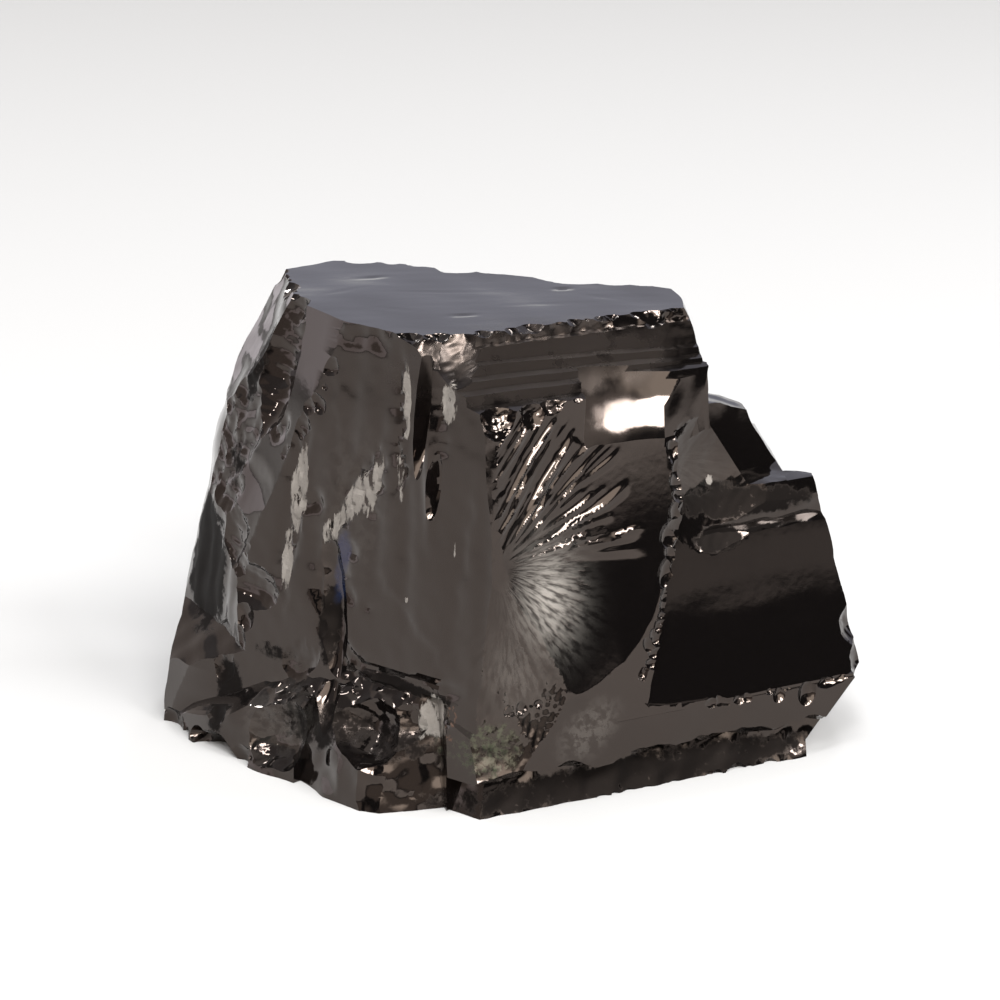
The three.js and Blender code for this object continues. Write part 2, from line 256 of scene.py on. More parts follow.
def groove(points, half, depth, seed):
    """A channel along a bent line: round in section, FAN_SPREAD half way, its depth fading at the ends.
    Where a place lies is its distance to the nearest of the line's straight pieces."""
    path = np.array(points, float)
    lengths = np.linalg.norm(np.diff(path, axis=0), axis=1)
    starts = np.concatenate([[0], np.cumsum(lengths)])
    wander = noise_line(seed, 2.5)

    def relief(u, v):
        nearest, share = np.full_like(u, np.inf), np.zeros_like(u)
        for start, end, length, begin in zip(path[:-1], path[1:], lengths, starts):
            along = ((u - start[0]) * (end[0] - start[0]) + (v - start[1]) * (end[1] - start[1])) / length
            along = np.clip(along, 0, length)
            point = start[:, None, None] + (end - start)[:, None, None] * along / length
            away = np.hypot(u - point[0], v - point[1])
            share = np.where(away < nearest, (begin + along) / starts[-1], share)
            nearest = np.minimum(nearest, away)
        taper = np.sin(np.pi * np.clip(share, 0.02, 0.98)) ** 0.6
        wide = half * (0.3 + 0.7 * taper) * (1 + 0.25 * wander(share * starts[-1]))
        return -depth * taper * np.clip(1 - (nearest / wide) ** 2, 0, 1)
    return relief


def fan(origin, slope, seed):
    """Rib marks that spread like a fan from the origin. A rib is a wedge of the fan up to 48 degrees
    and a straight strip beyond, so q counts ribs across both. Across a rib the height is a saw with a
    gentle back and a steep face that looks up and to the left, as high as the rib is wide times the
    slope, and each rib starts and ends at its own distance from the origin."""
    numbers = stream(seed)
    sizes = [(math.radians(wedge), next(numbers) * 9) for wedge in FAN_WEDGES]
    wobble = noise_line(seed + 5, 4)

    def relief(u, v):
        du, dv = u - origin[0], v - origin[1]
        away = np.hypot(du, dv)
        turn = np.arctan2(dv, du)
        beyond = np.maximum(-du * math.sin(FAN_SPREAD) + dv * math.cos(FAN_SPREAD), 0)
        total = np.zeros_like(u)
        for k, (wedge, phase) in enumerate(sizes):
            strip = STRIP_START * wedge
            q = np.where(turn < FAN_SPREAD, turn / wedge, FAN_SPREAD / wedge + beyond / strip)
            q = q + phase + 0.16 * wobble(away * 0.6 + 3 * k)
            cell, tooth = np.floor(q), q % 1.0
            wide = np.where(turn < FAN_SPREAD, away * wedge, np.maximum(away * wedge, strip) * 0.8)
            # Three shares between 0 and 1 per rib, from sines of its number.
            dice = [np.sin(cell * jump + phase * 5 + j) * 0.5 + 0.5
                    for j, jump in enumerate((12.99, 4.14, 7.73))]
            begin = 0.4 + 4.0 * dice[0] ** 1.5
            finish = begin + 3.5 + 8.0 * dice[1]
            along = np.clip((away - begin) / (finish - begin), 0, 1)
            high = np.sin(np.pi * along) ** 0.5 * smooth(0.1, 0.35, dice[2])
            steep = (0.3 + 0.2 * dice[1]) * high + 1e-6
            total += wide * high * np.where(tooth < 1 - steep, tooth / (1 - steep), (1 - tooth) / steep)
        # The fan ends at its lowest rib, left of its origin, at its last strip and at its rim.
        shown = smooth(-0.1, 0.12, turn) * smooth(-2.2, -0.5, du + 1.5) * smooth(10.4, 9.0, beyond)
        shown = shown * smooth(13.6, 11.6, away + 0.5 * wobble(turn * 8))
        return slope * total * shown
    return relief


def mist(middle, half, height, seed):
    """A patch of very fine crossing waves, fading out at the rim of an ellipse."""
    fine, finer = swell(height, 0.7, seed), swell(height * 0.7, 0.45, seed + 1)

    def relief(u, v):
        rim = np.hypot((u - middle[0]) / half[0], (v - middle[1]) / half[1])
        return (fine(u, v) + finer(u, v)) * smooth(1.2, 0.5, rim)
    return relief


def ledges(rows, seed):
    """Edges of thin layers: each row gives a middle, a half length, a turn, a drop and how far the
    drop takes to fade. The line of the edge wanders, one side of it drops sharply, and the drop
    fades away from the line and towards its ends."""
    def relief(u, v):
        total = np.zeros_like(u)
        for k, (middle, half, turn, drop, fade) in enumerate(rows):
            wander = noise_line(seed + k, half * 0.5)
            angle = math.radians(turn)
            du, dv = u - middle[0], v - middle[1]
            run = du * math.cos(angle) + dv * math.sin(angle)
            side = -du * math.sin(angle) + dv * math.cos(angle) + 0.25 * wander(run) + 0.1 * wander(run * 5)
            ends = np.exp(-(run / half) ** 4)
            total -= drop * ends * smooth(-0.08, 0.22, side) * np.exp(-np.maximum(side, 0) / fade)
        return total
    return relief


def chips(rows, seed):
    """Flake scars that overlap, with sharp ridges between: each row gives an area's middle, half
    sizes and turn, how many scars it has, how wide and how deep they are. A scar is a pit with four
    sides of random slope and a slightly hollow floor, drawn on coordinates that waver, and the
    lowest pit wins where they meet."""
    numbers = stream(seed)
    scars = []
    for middle, half, turn, count, wide, deep in rows:
        c, s = math.cos(math.radians(turn)), math.sin(math.radians(turn))
        for _ in range(count):
            a, b = half[0] * (2 * next(numbers) - 1), half[1] * (2 * next(numbers) - 1)
            size = 0.5 + next(numbers)
            start = 2 * math.pi * next(numbers)
            walls = [(start + math.pi / 2 * (k + 0.7 * (next(numbers) - 0.5)),
                      0.35 + 1.3 * next(numbers) ** 2) for k in range(4)]
            scars.append((middle[0] + a * c - b * s, middle[1] + a * s + b * c, wide * size,
                          deep * size, walls))
    waver = [swell(0.1, 1.1, seed + k) for k in (1, 2)]

    def relief(u, v):
        wavy_u, wavy_v = u + waver[0](u, v), v + waver[1](u, v)
        total = np.zeros_like(u)
        for middle_u, middle_v, size, depth, walls in scars:
            du, dv = (wavy_u - middle_u) / size, (wavy_v - middle_v) / size
            pit = 0.3 * (du * du + dv * dv) - 1
            sides = [slope * (du * math.cos(turn) + dv * math.sin(turn)) for turn, slope in walls]
            total = np.minimum(total, depth * (pit + np.maximum.reduce(sides)))
        return total
    return relief


def cup(half, depth, seed):
    """A small flake scar: four sides of uneven slope round a hollow floor, steeper past its rim."""
    numbers = stream(seed)
    walls = [(math.pi / 2 * (k + 0.6 * (next(numbers) - 0.5)), 0.3 + 1.2 * next(numbers)) for k in range(4)]

    def relief(u, v):
        a, b = u / half[0], v / half[1]
        square = a * a + b * b
        sides = [slope * (a * math.cos(turn) + b * math.sin(turn)) for turn, slope in walls]
        return depth * (np.maximum.reduce(sides) + 0.3 * square + 0.25 * square ** 2 - 0.3)
    return relief


# ---- break surfaces ------------------------------------------------------------------------------
def grid_lines(side, window, step):
    """Places along one side of a slab: close together in the window, wide apart beyond it."""
    low, high = window
    inner = np.linspace(low, high, max(2, round((high - low) / step)) + 1)
    before = np.linspace(-side / 2, low, max(1, round((low + side / 2) / COARSE)) + 1)[:-1]
    after = np.linspace(high, side / 2, max(1, round((side / 2 - high) / COARSE)) + 1)[1:]
    return np.concatenate([before, inner, after])


def mesh_piece(name, points, faces):
    """An object of the given points, in millimetres, and faces."""
    mesh = bpy.data.meshes.new(name)
    mesh.from_pydata((np.asarray(points) * MM).tolist(), [], faces)
    mesh.update()
    return bpy.data.objects.new(name, mesh)


def outside(at, azimuth, tilt, *relief, roll=0.0, span=(REACH, REACH), deep=DEEP, window=None,
            step=0.8):
    """The space outside one break. Its inner face is the sum of the given reliefs over u and v, and
    straight walls run out from that face's rim to a flat end."""
    across, along, normal = axes_of(azimuth, tilt, roll)
    sides = []
    for k in range(2):
        reach = span[k] / 2
        if not relief:
            sides.append(np.array([-reach, reach]))
            continue
        low, high = window[k] if window else (-reach, reach)
        sides.append(grid_lines(span[k], (max(low, -reach), min(high, reach)), step))
    u, v = np.meshgrid(*sides, indexing="ij")
    height = sum((shape(u, v) for shape in relief), np.zeros_like(u))
    at = np.asarray(at, float)
    inner = at + u[..., None] * across + v[..., None] * along + height[..., None] * normal
    rows, columns = u.shape
    index = np.arange(rows * columns).reshape(rows, columns)
    rim = np.concatenate([index[:-1, 0], index[-1, :-1], index[:0:-1, -1], index[0, :0:-1]])
    outer = at + u.ravel()[rim, None] * across + v.ravel()[rim, None] * along + deep * normal
    cells = np.stack([index[:-1, :-1], index[:-1, 1:], index[1:, 1:], index[1:, :-1]], -1)
    walk = np.arange(len(rim))
    step_on = np.roll(walk, -1)
    first = rows * columns
    walls = np.stack([rim, rim[step_on], first + step_on, first + walk], -1)
    faces = cells.reshape(-1, 4).tolist() + walls.tolist() + [(first + walk).tolist()]
    return mesh_piece("break", np.concatenate([inner.reshape(-1, 3), outer]), faces)


def dish(at, azimuth, tilt, half, depth, *relief, roll=0.0, step=0.4):
    """A shallow dish: at is its floor, half its half sizes where it opens, depth how deep it is. Its
    slab reaches well past the opening, where it lies outside the stone."""
    hollow = bend(*(-size * size / (2 * depth) for size in half))
    span = tuple(size * 3.4 for size in half)
    return outside(at, azimuth, tilt, hollow, *relief, roll=roll, span=span, deep=depth * 8 + 3,
                   step=step)


def below_level(z):
    """Keeps a break under a level."""
    return outside((0, 0, z), 0, -90)


# ---- struck off with Boolean modifiers -----------------------------------------------------------
def boolean(target, cutters, operation):
    """Applies one Boolean of all the cutters to the target, and drops the cutters."""
    group = bpy.data.collections.new("cutters")
    bpy.context.scene.collection.children.link(group)
    for cutter in cutters:
        group.objects.link(cutter)
    modifier = target.modifiers.new("cut", "BOOLEAN")
    modifier.operation = operation
    modifier.operand_type = "COLLECTION"
    modifier.collection = group
    modifier.solver = "MANIFOLD"
    graph = bpy.context.evaluated_depsgraph_get()
    graph.update()
    cut = bpy.data.meshes.new_from_object(target.evaluated_get(graph))
    target.modifiers.clear()
    old = target.data
    target.data = cut
    bpy.data.meshes.remove(old)
    for cutter in cutters:
        used = cutter.data
        bpy.data.objects.remove(cutter)
        bpy.data.meshes.remove(used)
    bpy.data.collections.remove(group)
    if not len(cut.polygons):
        raise RuntimeError("a break took the whole stone away, or met nothing")
    return target


def common(surfaces):
    """What lies outside all of a break's surfaces."""
    first, *others = surfaces
    if others:
        bpy.context.scene.collection.objects.link(first)
        for other in others:
            boolean(first, [other], "INTERSECT")
        bpy.context.scene.collection.objects.unlink(first)
    return first


def strike(stone, breaks):
    """Takes all of the breaks off the stone at once."""
    boolean(stone, [common(surfaces) for surfaces in breaks], "DIFFERENCE")


# ---- the breaks ----------------------------------------------------------------------------------
def side_wall():
    """The wall that the ledge block's breaks start from."""
    return outside((15.4, -0.6, 31.5), 102, 3, swell(0.15, 8, 18), swell(0.03, 1.5, 218),
                   window=((-8, 22), (-14, 6)), step=0.5)


def shelf_end():
    """The sloping right end of the small block behind the ledge."""
    return outside((18.9, 8, 25.3), 95, 30, swell(0.2, 6, 21), window=((-16, 12), (-8, 8)), step=0.6)


def outline_breaks(top):
    """Top, base, back and both ends."""
    scratches = troughs([
        ((-3.6, 1), (0.8, 0.3), 12, 0.1), ((-9, 3), (1.6, 0.2), -20, 0.02), ((2, 4.5), (2.6, 0.2), 8, 0.02),
        ((-6, 9), (3.2, 0.25), 3, 0.02), ((7, 7), (1.4, 0.25), -30, 0.02), ((-13, 9), (2, 0.2), 40, 0.02),
        ((4, 10), (0.5, 0.4), 0, 0.12), ((-11, 14), (0.9, 0.3), 20, 0.08),
    ])
    return [
        [outside((0, 0, top), 0, 90, swell(0.08, 16, 3), swell(0.006, 4, 203), scratches,
                 window=((-20, 15), (-7, 23)), step=0.4)],
        [outside((0, 0, 0), 0, -90)],
        [outside((-14.5, 21.6, top), 171, 3, swell(0.5, 18, 5), swell(0.06, 3, 205),
                 ripples((-10, 4), 0.05, 1.9, 305), window=((-36, 14), (-37, 1)), step=0.7)],
        [outside((-14.2, 21, top), 158, 6, swell(0.3, 12, 55), window=((-30, 6), (-37, 1)), step=0.8),
         outside((6, 14, 27), 140, 66, swell(0.4, 9, 56), window=((-18, 18), (-18, 18)), step=0.8)],
        [outside((-17.2, 10.5, top), -81, 29, swell(0.25, 12, 6), swell(0.05, 2.5, 206),
                 window=((-14, 18), (-18, 1)), step=0.5)],
        [outside((-18, 17.6, top), -139, 8, swell(0.2, 6, 66), window=((-12, 12), (-37, 1)), step=0.7)],
        [outside((-24.9, 12, 16), -87, 12.5, swell(0.5, 12, 7), swell(0.05, 2.5, 207),
                 window=((-16, 20), (-17, 16)), step=0.6)],
        [outside((26.5, 5, 10), 95, 13, swell(0.3, 10, 17), swell(0.05, 2, 217),
                 window=((-8, 16), (-11, 13)), step=0.6)],
        [outside((26.9, 3.5, 5.7), 80, -36), outside((23.3, 3, 0), 88, 4)],
    ]


def left_front_breaks(facet):
    """The big left front, the planes that close it at the left, and the knobs at its foot."""
    left_flutes = troughs([
        ((0.5, 2.5), (0.8, 9.5), 2, 0.18), ((-2.4, 3.5), (0.7, 8), 0, 0.14),
        ((2.6, 7), (0.45, 6), 3, -0.3), ((-8.6, -1.5), (1.0, 6.5), 6, 0.2),
        ((-5.5, 8), (0.9, 5), -4, 0.16), ((5.9, -3), (1.2, 8), 0, 0.12),
        ((8.4, -4), (0.8, 9), 2, 0.14), ((-1.5, -8), (4, 3.2), 25, 0.2),
    ])
    left_ledges = ledges([
        ((-10.9, -0.5), 6.5, 86, 0.35, 1.6), ((-4.3, 3.2), 4.2, 62, 0.4, 1.4),
        ((-2.3, 3.4), 2.6, 75, 0.3, 1.0), ((-0.2, 8.5), 5.2, 93, 0.4, 0.9),
        ((4.1, 11), 1.8, 90, 0.3, 0.6), ((-6.5, 6), 5, 100, 0.12, 1.5), ((6.5, 0), 6, 84, 0.1, 2),
        ((1.5, -6), 5, 140, 0.1, 2.5),
    ], 601)
    outer_chips = chips([
        ((6.2, 31), (1.4, 5.5), -8, 60, 0.9, 0.34), ((3.4, 26), (2.6, 3), 0, 60, 0.9, 0.36),
        ((2.8, 22), (2.2, 2.6), 0, 40, 0.9, 0.34), ((8.6, 27), (2, 0.8), -20, 20, 0.6, 0.25),
        ((10, 21), (3, 6), 0, 3, 2.5, 0.25),
    ], 611)
    face_chips = chips([
        ((-9.6, 1), (1.2, 0.3), 0, 6, 0.6, 0.25), ((-6, -2.6), (0.8, 3.2), 15, 12, 0.9, 0.35),
        ((-5, 15), (4.5, 0.8), 3, 22, 0.8, 0.22),
        ((-3.2, -6.1), (0.3, 0.2), 0, 2, 0.4, 0.12), ((4, 9), (0.5, 2.5), 0, 9, 0.5, 0.15),
    ], 612)
    channels = [
        groove([(-6.9, -0.7), (-7.7, -3.2), (-8.1, -5.6), (-7.0, -8.5), (-5.1, -11.3), (-2.2, -12.2),
                (2.3, -11.5), (6.9, -10.6)], 0.75, 0.5, 621),
        groove([(-6.6, -6.3), (-5.9, -8.8), (-4.0, -10.5), (-1, -10.9), (3, -10.5), (7, -10.2)],
               0.6, 0.4, 625),
        groove([(-9.5, 7.5), (-10.4, 3), (-10.6, -2), (-11.4, -6)], 0.5, 0.2, 622),
        groove([(-3.5, 6.5), (-5.2, 3.5), (-6.8, 1)], 0.6, 0.22, 623),
        groove([(-12, 12), (-10.5, 8), (-11, 2), (-13, -5)], 0.9, 0.16, 624),
    ]
    foot_chips = chips([
        ((-4.5, -2), (5, 2.4), 0, 40, 1.4, 0.5), ((2.5, -1.5), (3, 2), 0, 14, 1.4, 0.45),
    ], 613)
    return [
        [outside(on_left(26.2, 16), -64, 2, swell(0.25, 11, 9), swell(0.08, 2.5, 209),
                 window=((-14, 12), (-16, 19)), step=0.45),
         outside(on_left(27, 7.5), -62, 42, swell(0.2, 6, 67), window=((-12, 12), (-12, 12)), step=0.5)],
        [outside((-28.3, 8.6, 0), -58, 13, swell(0.1, 15, 8), outer_chips, window=((-6, 14), (0, 37)),
                 step=0.3)],
        [outside((-19.2, -3.2, 0), -46, 10, swell(0.3, 7, 88), swell(0.06, 2, 288),
                 window=((-16, 12), (0, 12)), step=0.4)],
        [outside(on_left(10, 20), *LEFT_FACE, swell(0.12, 14, 4), swell(0.02, 2.2, 204), left_flutes,
                 left_ledges, face_chips, *channels, window=((-19, 12), (-21, 17)), step=facet * 0.8),
         outside(on_left(13, 8.4), -42, 52, bend(40, 0), swell(0.3, 9, 14), foot_chips,
                 window=((-12, 8), (-7, 4)), step=0.25)],
        [outside((-14.2, -8.1, 0), -60, 14, swell(0.15, 4, 301), window=((-14, 14), (0, 12)), step=0.4),
         below_level(8.5), outside((-16.4, -5, 0), 45, 0)],
        [outside((-11, -11.4, 0), -12, 12, swell(0.3, 8, 12), swell(0.06, 2, 212),
                 window=((-8, 8), (0, 12)), step=0.4),
         below_level(8.5), outside((-6.5, -10.4, 0), -80, 0)],
        [outside((-7.4, -11, 0), 14, 14, swell(0.12, 3, 302), window=((-6, 6), (0, 12)), step=0.4),
         below_level(8.5), outside((-5, -10.4, 0), -76, 0)],
        [outside(on_left(2, 6, -0.2), *LEFT_FACE, swell(0.1, 5, 303), window=((-4, 6), (-7, 4)), step=0.4),
         outside(on_left(4.4, 6), 50, 0)],
        [outside(on_left(2, 0, 0.6), -40, 19, swell(0.04, 3, 304), window=((-4, 4), (-1, 4)), step=0.3),
         outside(on_left(2, FOOT_Z, -1), -40, -75), outside(on_left(4.4, 6), 50, 0)],
    ]


def right_front_breaks(crease, facet):
    """The right front: wall with the scoop, bent black wall, grey band under the crease, underside."""
    foot_chips = chips([((0, 1.8), (16, 1.4), 0, 34, 1.6, 0.25), ((11, 1.5), (3, 1), 0, 6, 1.8, 0.4)], 615)
    lip_chips = chips([((0, 0), (16, 1.4), 0, 30, 1.8, 0.7)], 616)
    return [
        [outside(on_right(9.7, 31.5), 30, 8.2, swell(0.1, 14, 14), swell(0.015, 2, 216),
                 window=((-12, 16), (-27, 6)), step=facet * 1.4),
         outside(on_right(9.7, crease, -1), 30, 80)],
        [outside(on_right(19, crease, -1), 29, 0, swell(0.15, 10, 15), swell(0.015, 2.4, 215),
                 window=((-21, 14), (-8, 4)), step=facet)],
        [outside(on_right(15, 0, 0.69), 28, 18, swell(0.04, 12, 16), swell(0.004, 3, 219), foot_chips,
                 window=((-17, 18), (-2, 5)), step=0.3),
         outside(on_right(15, FOOT_Z, -1.05), 28, -78, swell(0.15, 5, 316), lip_chips,
                 window=((-17, 18), (-3, 3)), step=0.3)],
        [outside(on_right(24, 14, 0.89), 31, 16.7, bend(0, -81), swell(0.012, 6, 221),
                 window=((-8, 11), (-10, 9)), step=facet),
         outside(on_right(18.4, 20.7), 118, -19, swell(0.12, 3, 222), window=((-6, 6), (-18, 8)), step=0.4),
         outside(on_right(17, crease + 0.2, -1), 30, 75)],
    ]


def shelf_breaks(ledge, top):
    """The ledge block and the small block behind it."""
    return [
        [side_wall(), outside((16.3, -0.5, 25.2), 95, 32),
         outside((20, 4, ledge), 30, 85, swell(0.15, 6, 19), swell(0.04, 1.5, 223),
                 window=((-10, 14), (-8, 14)), step=0.4),
         outside((18, 6.8, 25), 38, 11, bend(0, -60), swell(0.02, 4, 224),
                 window=((-8, 10), (-8, 6)), step=0.4)],
        [side_wall(), outside((17, 8, 26.8), 95, 72, swell(0.2, 5, 20), swell(0.05, 1.5, 225),
                              window=((-10, 14), (-8, 8)), step=0.5)],
        [side_wall(), shelf_end(), outside((20, 5, ledge), 30, 85)],
        [side_wall(), shelf_end(), outside((21, 6.5, ledge), 166, 68, swell(0.2, 6, 57),
                                           window=((-12, 12), (-10, 10)), step=0.6)],
        [outside((13.3, 4, top), 96, 16, swell(0.2, 6, 22), window=((-8, 12), (-12, 4)), step=0.5),
         outside((14.6, 0, 32), 130, 72)],
    ]


def stair_breaks(top):
    """Steps that lead from the top down to the block over the scoop."""
    steps = []
    for k, (inset, level) in enumerate(STAIR_STEPS):
        steps.append([
            outside(on_right(8, level, inset), 30, 10, swell(0.05, 9, 30 + k),
                    striations(1, 0.015, 0.4, 430 + k, 0.3), window=((-12, 14), (-2, 5)), step=0.25),
            outside(on_right(8, level - 0.35, inset), 30 + 3 * k, 74, swell(0.05, 9, 40 + k),
                    striations(2, 0.015, 0.4, 440 + k, 0.3), window=((-12, 14), (-2, 3)), step=0.25)])
    brim_chips = chips([
        ((6.5, -1.2), (1.3, 0.7), 0, 16, 0.5, 0.2), ((14, -1), (1.4, 1.2), 0, 22, 0.6, 0.25),
        ((3, -0.7), (7, 0.3), 0, 26, 0.4, 0.15),
    ], 617)
    corner_chips = chips([
        ((3.2, -0.5), (2.6, 1.3), 0, 60, 0.7, 0.22), ((-2, 0), (3, 1), 0, 16, 0.9, 0.2),
    ], 614)
    return steps + [
        [outside((0, -3.9, top), 30, 14, swell(0.1, 7, 50), swell(0.03, 2.4, 250), brim_chips,
                 window=((-6, 18), (-5, 2)), step=0.2),
         outside((0, -3.8, top - 0.8), 30, 84, swell(0.05, 2, 251), window=((-6, 18), (-4, 4)),
                 step=0.4)],
        [outside((-6, -5.7, top - 0.2), -5, 38, swell(0.2, 3, 51), corner_chips,
                 window=((-6, 8), (-4, 4)), step=0.16),
         outside((-3, -8, BRIM_Z), 0, 80)],
    ]


def notch_breaks():
    """The small block beside the scoop, and the wedge under the ledge's rim."""
    return [
        [outside(on_right(19.5, 29, 1.2), 38, 8, swell(0.04, 4, 260), window=((-5, 8), (-8, 8)), step=0.4),
         outside(on_right(17.3, 30), 100, -6), outside(on_right(19, 27, 1), 30, 70)],
        [outside(on_right(26, 19.2, 2.3), 30, -12, swell(0.05, 3, 261), window=((-6, 8), (-3, 4)),
                 step=0.4),
         outside(on_right(26, 18.8, 2.3), 30, 62, swell(0.05, 3, 262), window=((-6, 8), (-4, 4)),
                 step=0.4),
         outside(on_right(21, 19), 110, -10)],
    ]


def hollow_breaks(scoop, ribs):
    """The big scoop with its fan of ribs, the bevel over it, and the smaller shells and grooves. A
    shell or groove gives its floor, azimuth and tilt, half sizes, depth, a groove's waves, and roll."""
    shells = [
        (on_left(23.4, 31.5, 3.2), -76, 14, (2.3, 6), 1.0, 4),
        ((-21.6, 6, 27.6), -75, 22, (3.2, 3.6), 1.4, 0),
        (on_left(26.5, 24.6, 0.9), -62, 2, (2.6, 3), 1.3, 0),
        (on_left(27.4, 15, 1.0), -62, 22, (3.1, 4), 1.5, 0),
        (on_left(27.6, 5.4, 0.1), -42, 19, (2.3, 4), 1.4, 12),
        (on_left(19.3, 2.6, -1.2), -42, 16, (4.2, 3.2), 1.7, 25),
        (on_left(19.5, 7.8, 0.3), -44, 22, (3.8, 2.8), 1.5, 20),
        (on_left(11.2, 5.4, -0.3), -30, 20, (3.8, 2.5), 1.6, -12),
        (on_left(6, 7.2, 0.5), -44, 10, (2.4, 2.4), 0.9, 0),
    ]
    scallops = ((3.3, 30.2, 14, 24, (1.5, 2.2)), (5.7, 30.2, 38, 16, (1.5, 2.4)),
                (8.0, 30.4, 20, 30, (1.7, 2.2)), (9.7, 30.9, 40, 22, (1.0, 1.5)))
    grooves = [
        (on_left(8.3, 30, 1.3), -40, 4.5, (0.9, 5.5), 1.5, (0.06, 2, 276), -3, 0.2),
        (on_left(6.7, 24.6, 0.7), -40, 4.5, (0.6, 2.6), 0.8, (0.05, 1.5, 277), -6, 0.2),
        (on_left(16.6, 13.5, 1.3), -38, 6, (1.5, 6.2), 1.3, (0.08, 2, 278), 8, 0.25),
        (on_left(8.9, 2.7, -3.1), -3, 30, (1.2, 1.0), 0.3, (0.03, 0.9, 297), 0, 0.2),
        (on_left(6.3, 0.7, -1.1), -3, 30, (0.9, 0.6), 0.2, (0.03, 0.9, 298), 0, 0.2),
    ]
    breaks = [
        [outside(on_right(9.5, 21.5, scoop - 0.38), 30, 9.2, bend(-38, -140), fan((-8, -2.1), ribs, 7),
                 mist((-3.9, -4.4), (3.4, 3.4), 0.004, 270), span=(30, 44), deep=9,
                 window=((-8, 8.5), (-13, 9)), step=0.15)],
        [outside(on_right(13.8, 29.2, 1.4), 24.5, 30, bend(-40, -15), swell(0.01, 3, 271),
                 swell(0.03, 5, 471), span=(16, 12), deep=6, step=0.2),
         outside(on_right(10.3, 29.2), 112, -5, swell(0.1, 1.5, 371), window=((-4, 4), (-4, 4)),
                 step=0.25)],
        [dish(on_right(21, 23.5, 2.9), 38, 2, (4, 3.6), 0.7, swell(0.03, 2, 272),
              striations(30, 0.06, 0.5, 472), roll=15, step=0.22),
         outside(on_right(18.3, 23.5), 120, 0, swell(0.15, 2, 372), window=((-4, 4), (-6, 6)),
                 step=0.3)],
        [dish(on_right(26.8, 19.4, 1.5), 40, 20, (2.4, 0.9), 0.8, swell(0.04, 1, 273), step=0.2)],
        [outside(on_right(2.6, 11, 0.2), 18, 5, bend(-40, -30), swell(0.04, 3, 95),
                 striations(70, 0.1, 0.5, 474), span=(26, 26), deep=7, window=((-6, 7), (-7, 8)),
                 step=0.18)],
        [outside(on_right(1.4, 5.6, 0.6), 8, 12, bend(-20, -14), swell(0.04, 2, 96),
                 striations(62, 0.08, 0.4, 475), span=(16, 14), deep=6, window=((-5, 5), (-4, 4)),
                 step=0.18)],
    ]
    for at, azimuth, tilt, half, depth, waves, roll, step in grooves:
        breaks.append([dish(at, azimuth, tilt, half, depth, swell(*waves), roll=roll, step=step)])
    for k, (right, up, azimuth, tilt, half) in enumerate(scallops):
        breaks.append([dish(on_right(right, up, 0.7), azimuth, tilt, half, 0.7, swell(0.04, 1, 280 + k),
                            ripples((0, 2), 0.03, 0.5, 285 + k), step=0.16)])
    for k, (at, azimuth, tilt, half, depth, roll) in enumerate(shells):
        breaks.append([dish(at, azimuth, tilt, half, depth, swell(0.25, 4, 91 + k),
                            swell(0.06, 1.6, 290 + k), ripples((0, half[1]), 0.04, 0.8, 390 + k),
                            roll=roll, step=0.25)])
    return breaks


def back_breaks():
    """Fracture faces and shells of the back."""
    return [
        [dish((-5, 20.6, 13), 172, 6, (11, 8.5), 2.4, swell(0.15, 8, 70), swell(0.04, 2, 310),
              ripples((-9, 5), 0.07, 1.6, 410), roll=12, step=0.5)],
        [outside((-21.5, 19, 12), -146, 4, swell(0.4, 9, 71), swell(0.05, 2, 311),
                 window=((-12, 12), (-13, 24)), step=0.6)],
        [outside((20.5, 16, 10), 134, 9, swell(0.4, 9, 72), swell(0.05, 2, 312),
                 window=((-12, 12), (-11, 14)), step=0.6)],
        [dish((9.5, 17, 8), 168, 12, (6.5, 5.5), 1.8, swell(0.05, 2, 313),
              ripples((4, 5), 0.06, 1.2, 413), roll=-20, step=0.45)],
        [dish((-13, 22.5, 27), 178, 10, (5, 4.5), 1.6, swell(0.05, 2, 314), step=0.45)],
        [outside((3, 18.9, 5), 175, -13, swell(0.3, 8, 73), swell(0.05, 2, 315),
                 window=((-28, 26), (-6, 8)), step=0.7)],
        [outside((-20, 17.7, 24), -141, 6, swell(0.35, 8, 74), window=((-12, 12), (-14, 14)), step=0.6),
         outside((-21, 17, 15), -150, 56, swell(0.5, 7, 75), window=((-12, 12), (-12, 12)), step=0.6)],
        [outside((-6, 20.3, 20), 172, 3, swell(0.3, 9, 76), swell(0.05, 2, 316),
                 window=((-26, 14), (-8, 18)), step=0.6),
         outside((-6, 20.5, 15), 176, 60, swell(0.5, 8, 77), window=((-14, 14), (-8, 8)), step=0.6),
         outside((-4, 20, 20), -104, 6, swell(0.3, 6, 78), window=((-8, 8), (-8, 18)), step=0.6)],
        [dish((-22.6, 16.4, 8), -140, 4, (4.6, 4), 1.5, swell(0.06, 2, 317), roll=25, step=0.4)],
        [dish((25.4, 9, 14), 100, 12, (4.5, 5), 1.3, swell(0.06, 2, 318), step=0.4)],
    ]


